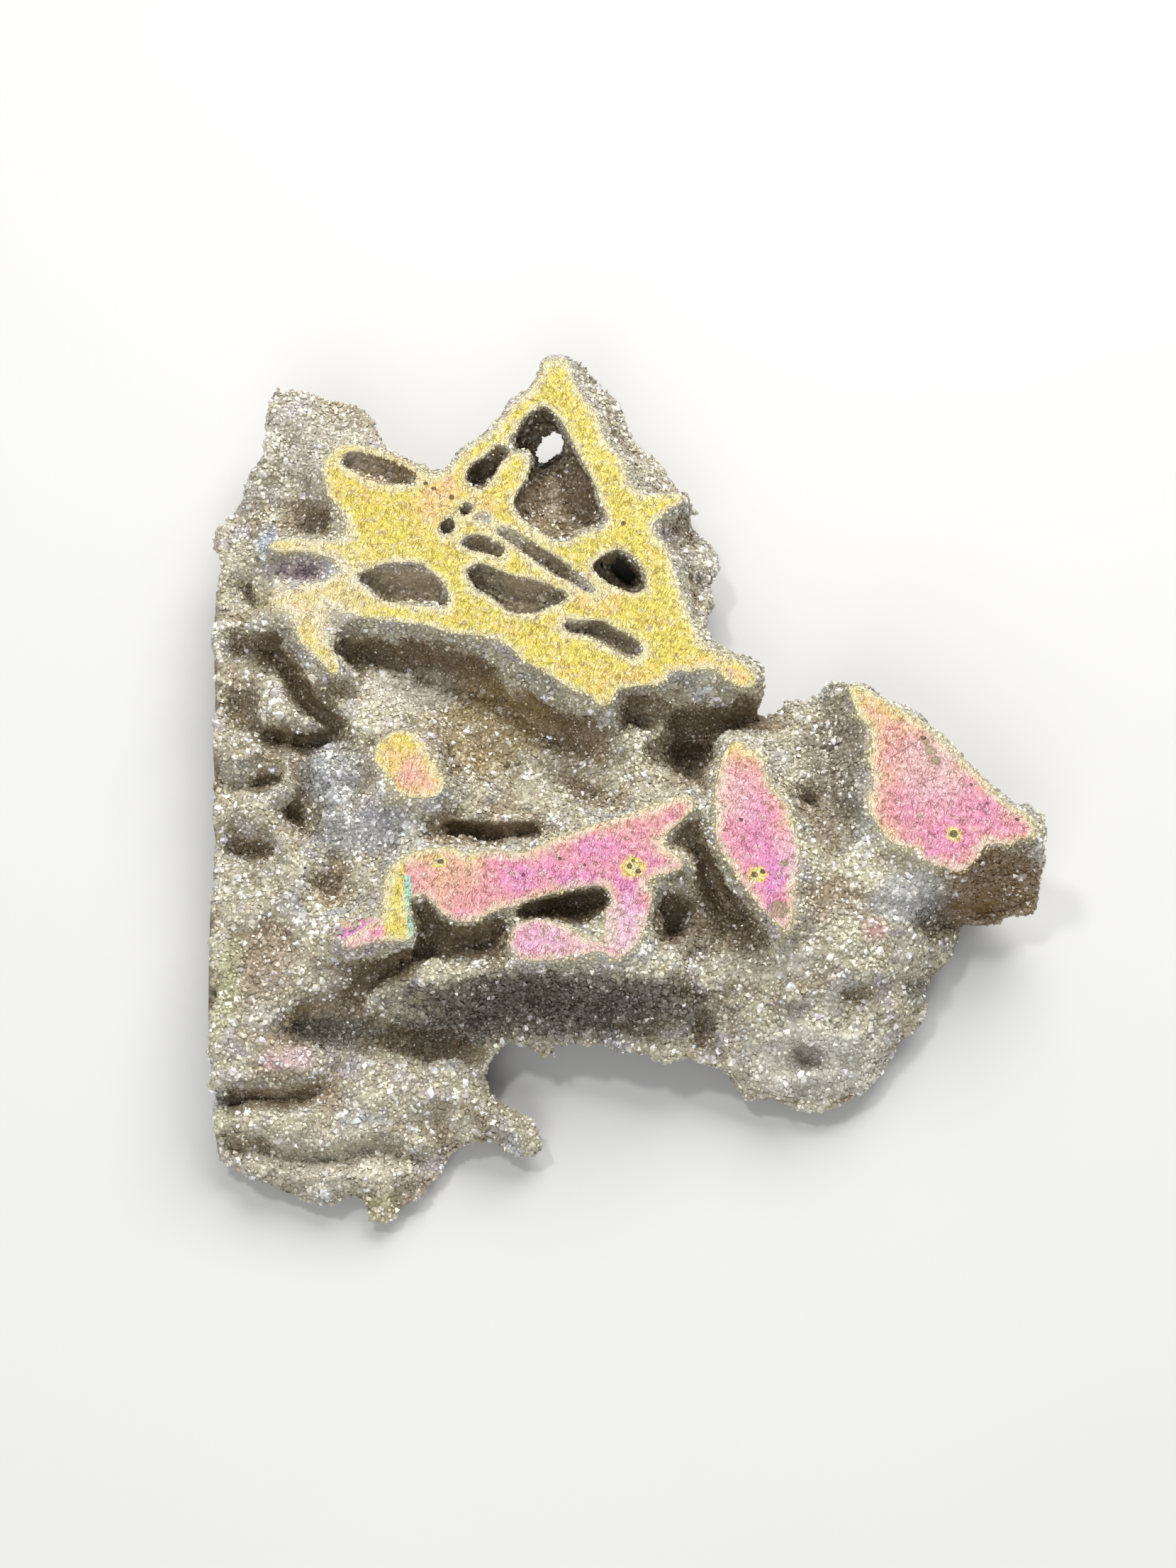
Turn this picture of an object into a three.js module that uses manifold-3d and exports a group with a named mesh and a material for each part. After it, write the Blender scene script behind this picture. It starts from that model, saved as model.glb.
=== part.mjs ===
// A slab of druzy quartz boxwork, sawn flat on top, underneath and down its left side.
// Millimetres, +Z up. The origin is the middle of the bounding box, on the ground.
//
// The growth leans towards the front, so its outlines are drawn as they are seen from the point EYE,
// on the plane of the sawn face. place() carries a drawn point along its line of sight to its height.
// The upper and the lower skin are both heights over that drawing, and they share the slab's rim.
import * as THREE from "three";
import { ImprovedNoise } from "three/addons/math/ImprovedNoise.js";
import { mergeVertices } from "three/addons/utils/BufferGeometryUtils.js";
import Module from "manifold-3d";

const FACE_Z = 22; // height of the sawn face above the sawn underside
const EYE = new THREE.Vector3(0, -144.7, 318.6); // the point that the outlines are seen from
const EDGE_STEP = 1.7; // spacing of the points along an outline
const CRUST_STEP = 1.6; // spacing of the points on the crust
const FACE_STEP = 4; // spacing of the points on a sawn face
const FOOT_STEP = 3; // spacing of the points on the underside's slopes
const CLEAR = 0.6; // least distance between points, as a share of their spacing
const LUMP = { size: 5.5, height: 0.55 }; // rounded lumps of the crust
const GRAIN = { size: 1.9, height: 0.4 }; // coarse crystal points between them
const LEAST_WALL = 2.4; // thickness kept between the two skins
const LINE_CLEAR = 0.5; // least distance from a crust line's points to others
const CRUST_DROP = 0.3; // how far the highest crust stays under the sawn face
const SWEEPS = 500; // passes that stretch the skin between its fixed heights
const SIDE_CUT = { x: -54.1, lean: -0.0557, y0: -75, y1: 36.5, thick: 20 }; // sawn side: x + lean * y

// The slab's rim, clockwise from the top left: x, y as drawn, and its height.
const RIM = [
  [-47, 68.2, 14], [-44, 67.6, 15], [-39, 66.4, 15], [-34.2, 65, 15], [-32, 61.6, 15], [-30.3, 58, 16],
  [-28.3, 55.5, 18], [-25.8, 54, 19.5], [-23.7, 52.7, 20.5], [-21.3, 54.3, 20.5], [-19.2, 57.3, 20.5],
  [-15.8, 60, 20.5], [-13.9, 62.6, 20.5], [-12.3, 65.4, 20.5], [-9.5, 68.2, 20.5], [-8.1, 71.3, 20.5],
  [-7.5, 73.8, 20], [-4, 74.4, 20.5], [-2.3, 74, 20], [0, 72.2, 17], [1.9, 69.2, 14], [3.1, 67.5, 12],
  [5.5, 62.3, 10], [8.2, 57.6, 9], [10.4, 55.5, 8.5], [12.5, 51.9, 9], [13.9, 50, 13], [15.5, 49.1, 17],
  [16, 47.4, 15], [16.5, 45.6, 10], [16, 43.9, 8], [18, 40.3, 8], [18.9, 39.6, 8], [18.7, 38, 8],
  [20.1, 35.6, 8], [18.7, 33.7, 8], [17.9, 32.1, 8], [18.6, 28.5, 9], [17.4, 26.2, 12], [17.2, 24.8, 17],
  [18.9, 22.8, 19], [22, 21.4, 19], [23.8, 20.3, 18.5], [25.8, 17.8, 17], [26.3, 13.8, 13],
  [24.9, 12.4, 10], [24.9, 10.6, 8.5], [26, 11.5, 9], [27.4, 13.3, 10], [29, 14.6, 11], [31, 13.7, 11.5],
  [33.4, 15.1, 13], [35.5, 16.7, 17], [38.6, 16.9, 20], [40.5, 16.2, 20], [42.9, 14.6, 20.5],
  [46, 12.4, 20.5], [48.5, 10.7, 20], [52, 6.8, 20], [55.6, 2.2, 20], [59.6, -2.4, 20], [62.2, -3.8, 20],
  [63.9, -6.8, 19.5], [63.8, -9.8, 17], [63.5, -12.9, 13], [62.5, -18, 8], [61.4, -20.3, 7],
  [58, -21.3, 6.5], [53.6, -21.6, 6.5], [51.7, -21.8, 6.5], [50.6, -22.9, 6], [49.1, -25.5, 5],
  [46.1, -30.4, 4.5], [46, -32.5, 4.5], [46.7, -34.3, 4.5], [45.7, -36, 4], [41.6, -40.3, 3.5],
  [37.9, -45.3, 3.5], [35.6, -47.8, 3.5], [31.5, -49.1, 3.5], [27.1, -48.5, 3.5], [23, -47.2, 4],
  [21.3, -47.8, 4], [19.6, -45, 5], [17.7, -43.1, 6.5], [16, -42.1, 7], [13, -41.8, 8],
  [8.2, -40.9, 8.5], [3.3, -40.2, 8.5], [-2.4, -39.4, 8], [-4, -40.6, 7], [-5.5, -41.6, 6.5],
  [-7.1, -41.1, 6.5], [-8.8, -39.7, 7.5], [-11.8, -40.6, 7], [-12.9, -44.4, 6], [-11.6, -46.2, 6],
  [-8.8, -47.9, 5.5], [-6.5, -49.2, 5], [-6, -50.9, 4.5], [-6.2, -53.1, 4], [-7.5, -54.2, 3.5],
  [-10.8, -54.5, 3.5], [-12.6, -53.4, 3.5], [-15.7, -53.9, 3], [-17.7, -54.7, 3], [-17.9, -56.7, 3],
  [-20.1, -59, 3], [-20.7, -60.8, 3], [-23.5, -61.6, 2.5], [-24.5, -62.6, 2.5], [-26.5, -63.3, 2.5],
  [-28.4, -62.7, 2.5], [-29.4, -60.7, 2.5], [-31.7, -60.6, 3], [-32.8, -61.8, 3], [-37.3, -60.6, 3],
  [-40.9, -59.5, 3.5], [-45.2, -57.5, 3.5], [-48.4, -54.7, 4], [-49.6, -53, 5], [-50.1, -49.6, 8],
  [-50.8, -45, 11], [-51.4, -40, 14], [-51.9, -33, 15.5], [-52.5, -26, 16], [-52.8, -20, 15.5],
  [-53.2, -11, 13], [-53.5, -4, 15], [-53.9, 1, 13.5], [-54.4, 8, 16], [-54.9, 14, 14], [-55.2, 20, 16],
  [-55.6, 28.7, 15.5], [-55.3, 33, 15], [-54.2, 34.7, 15], [-54.3, 35.6, 15], [-55.8, 38, 14],
  [-55.7, 40.1, 13], [-53.4, 45.3, 14], [-51.5, 49.5, 16], [-50.3, 52.6, 16.5], [-49.8, 56, 16.5],
  [-49.2, 59.9, 16], [-49.4, 64.4, 14], [-48.7, 66.8, 14],
];

// Sawn faces, all at FACE_Z: the net of boxwork walls, and the separate plates.
const NET = [
  [-5.5, 73.3], [-3.5, 73.3], [-2.5, 71], [-2, 68.5], [-0.3, 65.4], [1.4, 62.6], [2.8, 58.1], [4.5, 55.4],
  [5.9, 52.6], [6.1, 49.8], [8, 48.4], [12, 48.5], [14.2, 48.4], [14.6, 46.6], [12.5, 45.6], [10.8, 44.3],
  [9.4, 42.2], [11.8, 38.7], [12.5, 35.9], [13.9, 31.1], [14.9, 28.3], [15.3, 26.2], [16.4, 23.6],
  [18.2, 21.4], [20.6, 20.6], [23.3, 18.9], [24.5, 17.2], [24.2, 15.6], [22.7, 15], [20.6, 16],
  [18.4, 18.1], [17, 18.5], [14.8, 17.8], [13, 18.3], [11.6, 17.6], [10.8, 16], [9.4, 15.6], [6.9, 15.6],
  [5.6, 15.2], [4.7, 17.4], [3.6, 12.9], [1.5, 12], [0.4, 13.8], [-3.2, 15.6], [-7.9, 18.8], [-9.9, 20],
  [-11.3, 22], [-13.4, 23.4], [-20, 24.3], [-23.4, 25.5], [-30.3, 26.5], [-33.8, 27.4], [-38.6, 29.3],
  [-39.6, 27.6], [-39, 24.8], [-37.3, 22], [-35.5, 17.7], [-36.9, 17.2], [-38.7, 19.6], [-42.1, 23.1],
  [-43, 26.5], [-43.6, 28.5], [-46.6, 28.7], [-46.8, 30.1], [-44.6, 31.2], [-38.7, 33.5], [-36, 35],
  [-36.8, 36.6], [-39.4, 37.6], [-42, 38.3], [-47.2, 38.5], [-47.4, 39.9], [-44, 40.4], [-39, 40.1],
  [-35.2, 40.8], [-36, 44], [-39, 48], [-40, 52], [-39.7, 54.7], [-38.7, 56.6], [-36.3, 57.4],
  [-33.6, 57], [-28.4, 54.9], [-24.9, 52.6], [-23.4, 51.6], [-21, 53], [-18.7, 56.2], [-15.1, 59.1],
  [-13, 61.9], [-11.4, 64.8], [-8.8, 67.4], [-7.2, 71], [-6.7, 72.8],
];
const PLATES = [
  // the orange corner plate
  [[-29, 7.5], [-26.5, 8.7], [-24.5, 7.8], [-23.1, 6.1], [-21.7, 3.3], [-20.3, 1.2], [-20.6, -1.9],
    [-23.8, -2.2], [-25.8, -2.2], [-27.2, -0.8], [-28.6, 1.6], [-30.3, 3.3], [-30.3, 5.7]],
  // the pink wall with its leg
  [[-25.6, -11.2], [-23.8, -10.6], [-21.3, -9.9], [-18.6, -9.9], [-16.5, -10.9], [-14.4, -10.2],
    [-11.8, -10.3], [-9.3, -10.7], [-6.8, -9.4], [-3.9, -8.2], [-1.4, -7.4], [1.5, -6], [4.7, -5.3],
    [7.6, -3.8], [10.5, -3.1], [12.6, -1.9], [14.6, -2.2], [15, -3.6], [13, -6], [11.2, -7.8],
    [10.1, -9.3], [11.2, -10.3], [13, -11.4], [13.7, -12.9], [11.2, -13.9], [9, -14.3], [7.6, -15.4],
    [9, -16.8], [9, -18.3], [8.3, -20.4], [7.5, -23.3], [6.5, -24.6], [4.7, -26.4], [3, -26.7],
    [2.1, -25.7], [3, -23.3], [3.3, -21.9], [2.3, -20.5], [2.3, -19.1], [3.7, -17.4], [3.6, -16.2],
    [-0.1, -16], [-3.6, -16.7], [-7.1, -17.7], [-9.8, -18.7], [-12.3, -19.4], [-15.7, -21.2],
    [-18.3, -21.2], [-20.1, -20.1], [-22, -17.9], [-23.4, -15.6], [-24.2, -13.7]],
  // the yellow strip that runs into a small magenta plate
  [[-27.3, -12.6], [-26, -12.5], [-25.4, -14.5], [-24.6, -18], [-24, -21], [-23.6, -23.6], [-25.5, -24.2],
    [-27.5, -23.9], [-30.6, -24.6], [-33.2, -25.3], [-33.8, -24.3], [-32.1, -23], [-29.9, -21.5],
    [-28.3, -20.5], [-28.2, -16]],
  // the small plate on the arch
  [[-11, -23.9], [-10.2, -21.9], [-8.1, -20.7], [-5.3, -20.8], [-2.2, -22.2], [0.7, -24.3], [0.9, -25.5],
    [-1.9, -26], [-5.3, -26.9], [-8.8, -26.7], [-10.5, -25.7]],
  // the long diamond
  [[21.1, 7.1], [23.1, 5.5], [24.9, 4.1], [25.2, 1.5], [26.7, -1.3], [28, -3.1], [28.7, -6], [29.2, -8.2],
    [29.6, -11], [28.9, -13.2], [28.3, -16.8], [28.1, -20.4], [27.4, -23.3], [26, -21.5], [24.2, -20],
    [22.7, -17.9], [21.3, -15.7], [19.9, -13.2], [18.4, -10.7], [17.7, -7.8], [18, -4.6], [17.7, -1.3],
    [18.4, 1.5], [19.1, 4.8]],
  // the large corner plate
  [[37.1, 15.4], [39.8, 15.2], [42.2, 13.6], [44.6, 12.1], [47.4, 10], [49.5, 8], [51.7, 5.4],
    [54.3, 2.6], [56.5, 0], [58.8, -2.9], [61.6, -4.9], [62.7, -7], [62.5, -8.8], [61.4, -8.5],
    [59.2, -9.6], [56.9, -9.2], [55.1, -9.6], [54.3, -11.4], [53.2, -12.5], [51.7, -13.7], [50.2, -13.7],
    [48.7, -12.5], [46.5, -11.8], [45.4, -9.9], [43.1, -9.6], [41.6, -8.5], [40.1, -5.8], [39, -3.6],
    [39.8, -1.7], [40.5, 0.5], [39.8, 3.1], [40.1, 6.1], [40.1, 9.1], [38.3, 11.3], [37.9, 13.6]],
];

// Openings between the walls of the net: their rims at FACE_Z.
const POCKETS = [
  // the lens on the upper edge
  [[-38.1, 55.4], [-36.4, 56], [-33.8, 55.6], [-30.3, 54.5], [-27.6, 53.1], [-25.5, 51.2], [-25.8, 50.2],
    [-29, 50], [-31.7, 50.5], [-33.8, 51.5], [-36.6, 53.3], [-38, 54.4]],
  // the two bays inside the triangle, with the spur between them
  [[-6.6, 64.4], [-5.2, 62.8], [-4, 61], [-3.1, 59], [-2.4, 57], [-1.6, 55.2], [-0.5, 52.9], [0.7, 50.5],
    [1.7, 47], [2.9, 44.3], [2.4, 42.5], [0.4, 41.8], [-1.7, 41.1], [-3.5, 39.9], [-5.5, 40.5],
    [-7.3, 41.9], [-9.4, 43.3], [-11, 45.6], [-11, 47.7], [-10, 49.5], [-9.2, 51.2], [-8.7, 53],
    [-8.5, 54.6], [-8.9, 55.7], [-11.8, 55.7], [-13.2, 54], [-13.9, 52.6], [-14.9, 50.2], [-16.3, 49.1],
    [-17.7, 49.8], [-18.5, 51.2], [-17.7, 53.4], [-15.6, 55], [-13.9, 56.9], [-11.4, 58.8],
    [-10.2, 61.3], [-8.7, 63.1]],
  // the slits and cells of the middle
  [[-20.5, 46.6], [-18, 46.9], [-15.9, 45.3], [-13.9, 43.3], [-15.6, 43.2], [-18, 44.3]],
  [[-14.2, 42.5], [-12.1, 42.5], [-10.4, 41.1], [-8, 39.5], [-5.9, 37.9], [-3.8, 36.5], [-2.1, 34.7],
    [0, 33.1], [1.7, 31.2], [3.8, 29.5], [5, 28.3], [4.2, 28.1], [2.4, 29], [-0.3, 31.6], [-3.5, 33.3],
    [-6.6, 35.6], [-9.4, 38], [-11.8, 40.1], [-13.5, 41.1]],
  [[-19.2, 39.6], [-17.7, 41], [-15.6, 41], [-13.9, 40.1], [-12.1, 38.7], [-11.3, 37.4], [-12.8, 37],
    [-14.9, 38], [-17, 38.5]],
  [[-17.9, 33.9], [-17.6, 35.5], [-15.9, 36.2], [-13.9, 35.2], [-11.1, 33.9], [-8, 33.2], [-5.2, 32.1],
    [-2.6, 31.1], [-3.1, 29.9], [-5.2, 29], [-7.3, 27.9], [-10, 27.5], [-12.1, 28.3], [-13.9, 30.4],
    [-16.3, 31.5]],
  [[-34.3, 33.9], [-31.7, 35.6], [-28.6, 36.3], [-25.8, 36.4], [-23.4, 34.9], [-21.3, 32.5],
    [-20.2, 28.6], [-22.7, 28.8], [-26.5, 29.3], [-29.6, 29.7], [-31, 30.4], [-32.4, 32.1]],
  [[-5, 26], [-3.8, 26.8], [-1, 26.2], [1.7, 26.5], [4.2, 24.8], [6.2, 23.8], [7.6, 22.4], [8.6, 20.7],
    [8.8, 19.1], [7.6, 19.6], [5.4, 20.6], [2.6, 22.4], [0, 23.9], [-2.5, 24.6]],
  [[0.4, 35.6], [1.7, 37], [4.2, 38.4], [6.2, 37.5], [7.9, 35.2], [8.5, 32.3], [7.5, 31.3], [5.2, 31.6],
    [3.5, 32.6], [1.4, 34.2]],
  [[-20.6, 44.5], [-19.8, 43.2], [-20.3, 41.5], [-21.8, 40.9], [-22.4, 42], [-21.4, 43.7]],
];

// Gaps that go right through the slab, and the height of their narrowest place.
const GAPS = [
  { z: 9, points: [[-5.5, 59.4], [-4.4, 58.8], [-3.7, 56.9], [-4.9, 56], [-6.1, 55], [-7.3, 53.4],
    [-7.5, 54.8], [-7.3, 56.4], [-6.6, 58.1]] },
  { z: 8, points: [[3.2, 36.3], [4.2, 37.1], [5.3, 36.6], [5.6, 35.4], [6.9, 34], [7.3, 32.8],
    [6.1, 32.7], [4.7, 33.7], [3.7, 34.9]] },
];

// The flat underside, as drawn; the saw cut that makes it misses the arch and the overhanging edges.
const FOOTPRINT = [
  [-42.8, 54.5], [-33.5, 51.5], [-29, 43], [-22.5, 37], [-16.5, 40.5], [-11, 46], [-8.3, 48], [-2.8, 49.5],
  [2.8, 48.5], [6.5, 45.5], [10.2, 39.5], [13.5, 32.5], [15, 26], [14, 19], [16, 11.5], [19.5, 5],
  [22, 1], [26, 2.5], [33.5, 2], [41, -3], [48.5, -9.5], [54.5, -17], [53.1, -19.8], [47.5, -21.2],
  [43.8, -26.7], [42.4, -32.3], [39.1, -38.2], [33, -44.8], [26.1, -46], [22, -43.8], [17.5, -38.8],
  [13, -32.3], [4.7, -27.7], [-5.6, -27.7], [-13, -31.4], [-16, -38.6], [-15.4, -45.2], [-11.2, -49.1],
  [-9, -51.6], [-13, -51.7], [-18.6, -52.4], [-21.9, -57.6], [-26.1, -60], [-29.8, -58.6],
  [-37.2, -57.5], [-42.8, -54.7], [-46.8, -51.4], [-48.9, -47.2], [-49.8, -30], [-51, -10],
  [-52.7, 23.5], [-50, 30], [-48.4, 34], [-45.5, 43], [-44.2, 49.5],
];
// The underside's opening below the second gap.
const GAP_SKIRT = [
  [2.8, 39.6], [6.3, 39], [8.7, 36.4], [9.6, 32.4], [8, 30.2], [5, 31], [2.2, 33.6], [1, 36.8],
];

// Ridges, ledges, floors and pits of the crust: a height along a line, and how wide it holds.
const CRUST = [
  // upper left lobe and the hollows below it
  { wide: 2.5, line: [[-45, 63, 17.5], [-40, 61, 18], [-36, 60, 17.5]] },
  { wide: 0.8, line: [[-48.4, 63, 16.5], [-48.1, 58, 18.5], [-48.3, 52, 18.5]] },
  { wide: 1.5, line: [[-45.5, 56, 16.3], [-44.5, 51, 16.3]] },
  { wide: 1.2, line: [[-45.5, 46, 15.5], [-41.5, 43, 15], [-46, 42.4, 15]] },
  { wide: 1.2, line: [[-52.2, 43, 13], [-52.6, 39, 12.5]] },
  { wide: 0.8, line: [[-48.9, 43, 17.5], [-48.7, 38.5, 18.5]] },
  { wide: 0.8, line: [[-45.5, 35.4, 18.3], [-41, 35.3, 18.3]] },
  { wide: 1, line: [[-49.8, 32, 12.5], [-48.9, 29.8, 13]] },
  { wide: 0.9, line: [[-52.8, 26.5, 17], [-49, 25, 18], [-46, 26, 19.5]] },
  // the frilled rim of the net's left leg, and the gully that it hangs over
  { wide: 0.6, line: [[-43.6, 24, 20.5], [-41.9, 20.6, 20], [-40.5, 17.4, 19.5], [-39, 14.7, 19],
    [-36.8, 13, 18.5], [-34.9, 11.3, 18], [-33.6, 9.9, 17.5], [-31.5, 10, 17.5]] },
  { wide: 0.5, line: [[-49, 22.9, 12.5], [-45.2, 21.9, 11.5], [-43.7, 18.8, 11], [-41.9, 15.5, 10.5],
    [-39.6, 12.3, 10], [-37.2, 10.3, 9.5], [-35.3, 8.6, 10]] },
  // tongues and ledges down the left side, and the pits between them
  { wide: 1.8, line: [[-47, 17.5, 16.5], [-45, 14, 17], [-42.5, 11, 16.5]] },
  { wide: 0.5, line: [[-49.2, 15.1, 15], [-47.7, 12.6, 15], [-45.6, 9.4, 15], [-40, 8.6, 15], [-37, 9, 14]] },
  { wide: 0.5, line: [[-50.3, 13.4, 11.5], [-48.7, 10, 11.5], [-46.8, 7.9, 10.5], [-44, 6.9, 8],
    [-41.5, 6.7, 8], [-38.5, 6.7, 8], [-35.8, 6.9, 9]] },
  { wide: 2, line: [[-50.5, 7, 16], [-47.5, 4.5, 16]] },
  { wide: 0.5, line: [[-52, -0.2, 11.5], [-47.5, 0, 10], [-44.9, 0.6, 9.5]] },
  { wide: 0.9, line: [[-42.2, 4.3, 17], [-42.5, 0, 17.5], [-43, -2.3, 16.5]] },
  { wide: 0.4, line: [[-40.2, 4.5, 12], [-40, 0, 12], [-40.8, -3, 11]] },
  { wide: 1.9, line: [[-37, 3.8, 17], [-36.3, -1, 17.5]] },
  { wide: 1.4, line: [[-49.5, -3.2, 16], [-45.5, -5.5, 16.5]] },
  { wide: 0.5, line: [[-44, -3.6, 10.5], [-42.4, -4.6, 9], [-40.8, -5.6, 9]] },
  { wide: 0.6, line: [[-52, -9.3, 11], [-48, -9.9, 8.5], [-44.6, -10.3, 9]] },
  { wide: 1.4, line: [[-49.5, -13.4, 13.5], [-47, -15, 13.5]] },
  { wide: 2, line: [[-41, -10, 18], [-41, -15.5, 18.5]] },
  { wide: 1.1, line: [[-35.5, -11, 13.5], [-35, -16.5, 13]] },
  { wide: 1.7, line: [[-33, -5, 17.5], [-28, -6, 18.5], [-30.5, -10, 17]] },
  { wide: 1.6, line: [[-48.3, -20.5, 17.5], [-44, -19.5, 18]] },
  { wide: 2.2, line: [[-43.5, -24.5, 16.3], [-43.5, -28.5, 16]] },
  { wide: 1, line: [[-49.3, -27, 17], [-48.3, -36, 15.5]] },
  { wide: 1.3, line: [[-44.5, -33, 15.5], [-43, -37, 13.5]] },
  { wide: 0.9, line: [[-38, -21, 18], [-36.5, -26, 17.5], [-31.5, -26.3, 17.5]] },
  // the crevice that runs behind the arch
  { wide: 0.6, line: [[-39, -36.3, 8], [-35, -36, 7.5], [-31.8, -34.5, 8], [-30.8, -32, 9.5],
    [-29.5, -29.8, 11], [-27.6, -28.3, 12], [-23.1, -25.7, 12.5], [-18.5, -24.8, 12.5],
    [-14.9, -24.3, 13], [-12.8, -22, 13.5]] },
  { wide: 0.7, line: [[-9, -19.4, 13.5], [-6, -19, 12.5], [-2.5, -18.2, 12], [1.6, -17.7, 12]] },
  { wide: 0.4, line: [[-22.8, -18.4, 14.5], [-21.8, -20.8, 14], [-21, -23, 13]] },
  // the arch: its crest, the dark wall below the crest, and the crevice at its left foot
  { wide: 1.2, line: [[-22, -28, 18.5], [-15, -26.8, 19]] },
  { wide: 0.8, line: [[-29.5, -32.6, 14], [-28.4, -30.9, 15.5], [-26.1, -30.2, 17], [-23.1, -30.2, 18],
    [-20.1, -30.4, 18.3], [-16.8, -29.4, 18.8], [-13, -28.6, 19.3], [-10.5, -28.1, 20.3],
    [-7.1, -27.9, 20.6], [-3.6, -27.8, 20.5], [-0.1, -28.1, 20], [3.3, -29.5, 19], [5.4, -31.2, 17.5],
    [7.5, -33.5, 16], [9.6, -35.4, 14.5], [11.7, -36.6, 13.5], [13.2, -36.4, 13], [15, -33.5, 13.5]] },
  { wide: 1, line: [[-26.5, -34.2, 12.5], [-18, -35, 11.5], [-8, -33.4, 12], [2, -34, 12.5],
    [8, -37.8, 10.5], [13.6, -39.4, 8.8]] },
  { wide: 0.5, line: [[-28.6, -36.6, 8.5], [-26.3, -38.3, 7], [-23, -39.3, 6], [-18.6, -40.1, 6],
    [-14.2, -40.5, 6.5]] },
  // the lobe right of the pink leg, and the dark pocket above it
  { wide: 1.8, line: [[7.5, -27.5, 19.3], [11, -28, 18.5], [12.5, -31, 16.5]] },
  { wide: 0.5, line: [[9.4, -24.2, 18.5], [11.7, -24.5, 18.3], [13.7, -24.6, 17]] },
  { wide: 0.9, line: [[10.9, -17.6, 13.5], [12, -20.5, 11.5], [11, -22.2, 12]] },
  { wide: 1, line: [[14.9, -12.5, 19], [14.6, -17, 18]] },
  { wide: 1, line: [[13.6, -8.8, 17.5], [15.9, -6, 17.5]] },
  { wide: 1.4, line: [[17.5, -23.5, 13.5], [16.9, -28.5, 14]] },
  // the crust around the long diamond, and the undercut below its left edge
  { wide: 0.5, line: [[19.3, 6.2, 20], [17.2, 1, 20.5], [16.3, -3.6, 20.5], [16.4, -8, 20.5],
    [18.1, -12.2, 20.5], [20.2, -16, 20], [22.6, -19.6, 19.5], [25, -22.9, 19], [27.4, -25.1, 19]] },
  { wide: 0.5, line: [[15.4, -10.4, 14], [16.6, -13.2, 9.5], [18, -16.4, 8.5], [20.4, -19.4, 8.5],
    [22.8, -22.3, 11]] },
  // the basin below the net: the foot of its wall, its bright floor, its deep middle and its lower lip
  { wide: 1, line: [[-36.8, 21.3, 16], [-33.5, 21.8, 13.5], [-30, 20.5, 12.5], [-25, 19, 12],
    [-20, 17.8, 11.5], [-15, 16, 11], [-11, 13, 11], [-7, 10, 10.5], [-3, 7, 10], [0.5, 5, 10.5]] },
  { wide: 1.4, line: [[-34.5, 15, 16.3], [-29.5, 13, 16.3], [-25, 11.5, 16]] },
  { wide: 1.4, line: [[-19.5, 8, 15.5], [-17.5, 2, 16], [-14, -2, 15.5]] },
  { wide: 1.4, line: [[-9.5, 2.5, 12], [-4, 1.5, 10.5], [0, -1.2, 10.5]] },
  { wide: 0.6, line: [[-20, -5.6, 16], [-14, -6, 15], [-8, -5.9, 13]] },
  { wide: 0.5, line: [[-19.3, -7.4, 9], [-16, -8.3, 7], [-12, -8.3, 8.5], [-7.4, -7.6, 10]] },
  // the white knob, the cleft beside it, and the deep hollow under the net's right end
  { wide: 1.2, line: [[3.6, 7.6, 15], [8, 7.2, 17], [8, 3, 16.5], [11, 0.4, 15]] },
  { wide: 0.5, line: [[10.8, 9, 15], [11.6, 8.4, 14]] },
  { wide: 0.5, line: [[6.6, 13.4, 15.5], [6.4, 10.9, 12.5]] },
  { wide: 0.8, line: [[13.3, 9.6, 9], [16.5, 9, 8.5], [21, 9.2, 9], [23.6, 10.3, 9]] },
  { wide: 1.1, line: [[13.2, 5, 4], [16.6, 5.2, 3.5], [14.9, 2, 4]] },
  // druse between the two right-hand plates, and the hill that slopes to the lower right
  { wide: 0.9, line: [[29.5, 12.3, 13], [34, 12.8, 16]] },
  { wide: 2.3, line: [[32.5, 6, 17.5], [32.5, -1, 17.5], [34.5, -8, 18.5]] },
  { wide: 0.5, line: [[30.6, -2.4, 14], [31.5, -2.6, 14]] },
  { wide: 1.6, line: [[37, -14, 19.6], [44.5, -16, 19.3]] },
  { wide: 2, line: [[37.5, -21.5, 19], [31.5, -24.5, 18.8], [28, -31, 16.5]] },
  { wide: 1, line: [[34.8, -28.6, 17.5], [39, -28.4, 16.5]] },
  { wide: 0.5, line: [[35.2, -31, 13], [37.5, -31.8, 12], [40, -31.1, 12.5]] },
  { wide: 1.5, line: [[43.6, -21.5, 16], [43.5, -26.5, 13]] },
  { wide: 1.2, line: [[41.8, -33.5, 11.5], [40.5, -37, 9]] },
  { wide: 1.8, line: [[34.5, -37.5, 12.5], [25.5, -37.5, 12.5]] },
  { wide: 1.5, line: [[34, -43, 8.5], [25, -43.5, 8]] },
  { wide: 0.5, line: [[29.1, -39.8, 4.5], [29.1, -41, 4.5]] },
  { wide: 0.7, line: [[18, -34, 13], [17.2, -37.5, 11.5], [18.2, -40.4, 10], [20, -43.4, 8]] },
  { wide: 0.5, line: [[15.8, -35.6, 9], [15.7, -38.5, 8.2]] },
  // the brown pocket under the large corner plate
  { wide: 0.5, line: [[47.6, -17.3, 16], [49.8, -16.1, 17.5], [51.8, -15.1, 19.5]] },
  { wide: 0.5, line: [[49.3, -19, 8], [49.7, -21.3, 7]] },
  { wide: 1, line: [[53.5, -18.5, 8.5], [59.5, -18.3, 8.5]] },
  // ledges of the lower left, each with the crevice under its lip
  { wide: 1.8, line: [[-46.3, -41.2, 13], [-41, -41.2, 13.5], [-38, -41.3, 13]] },
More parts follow.
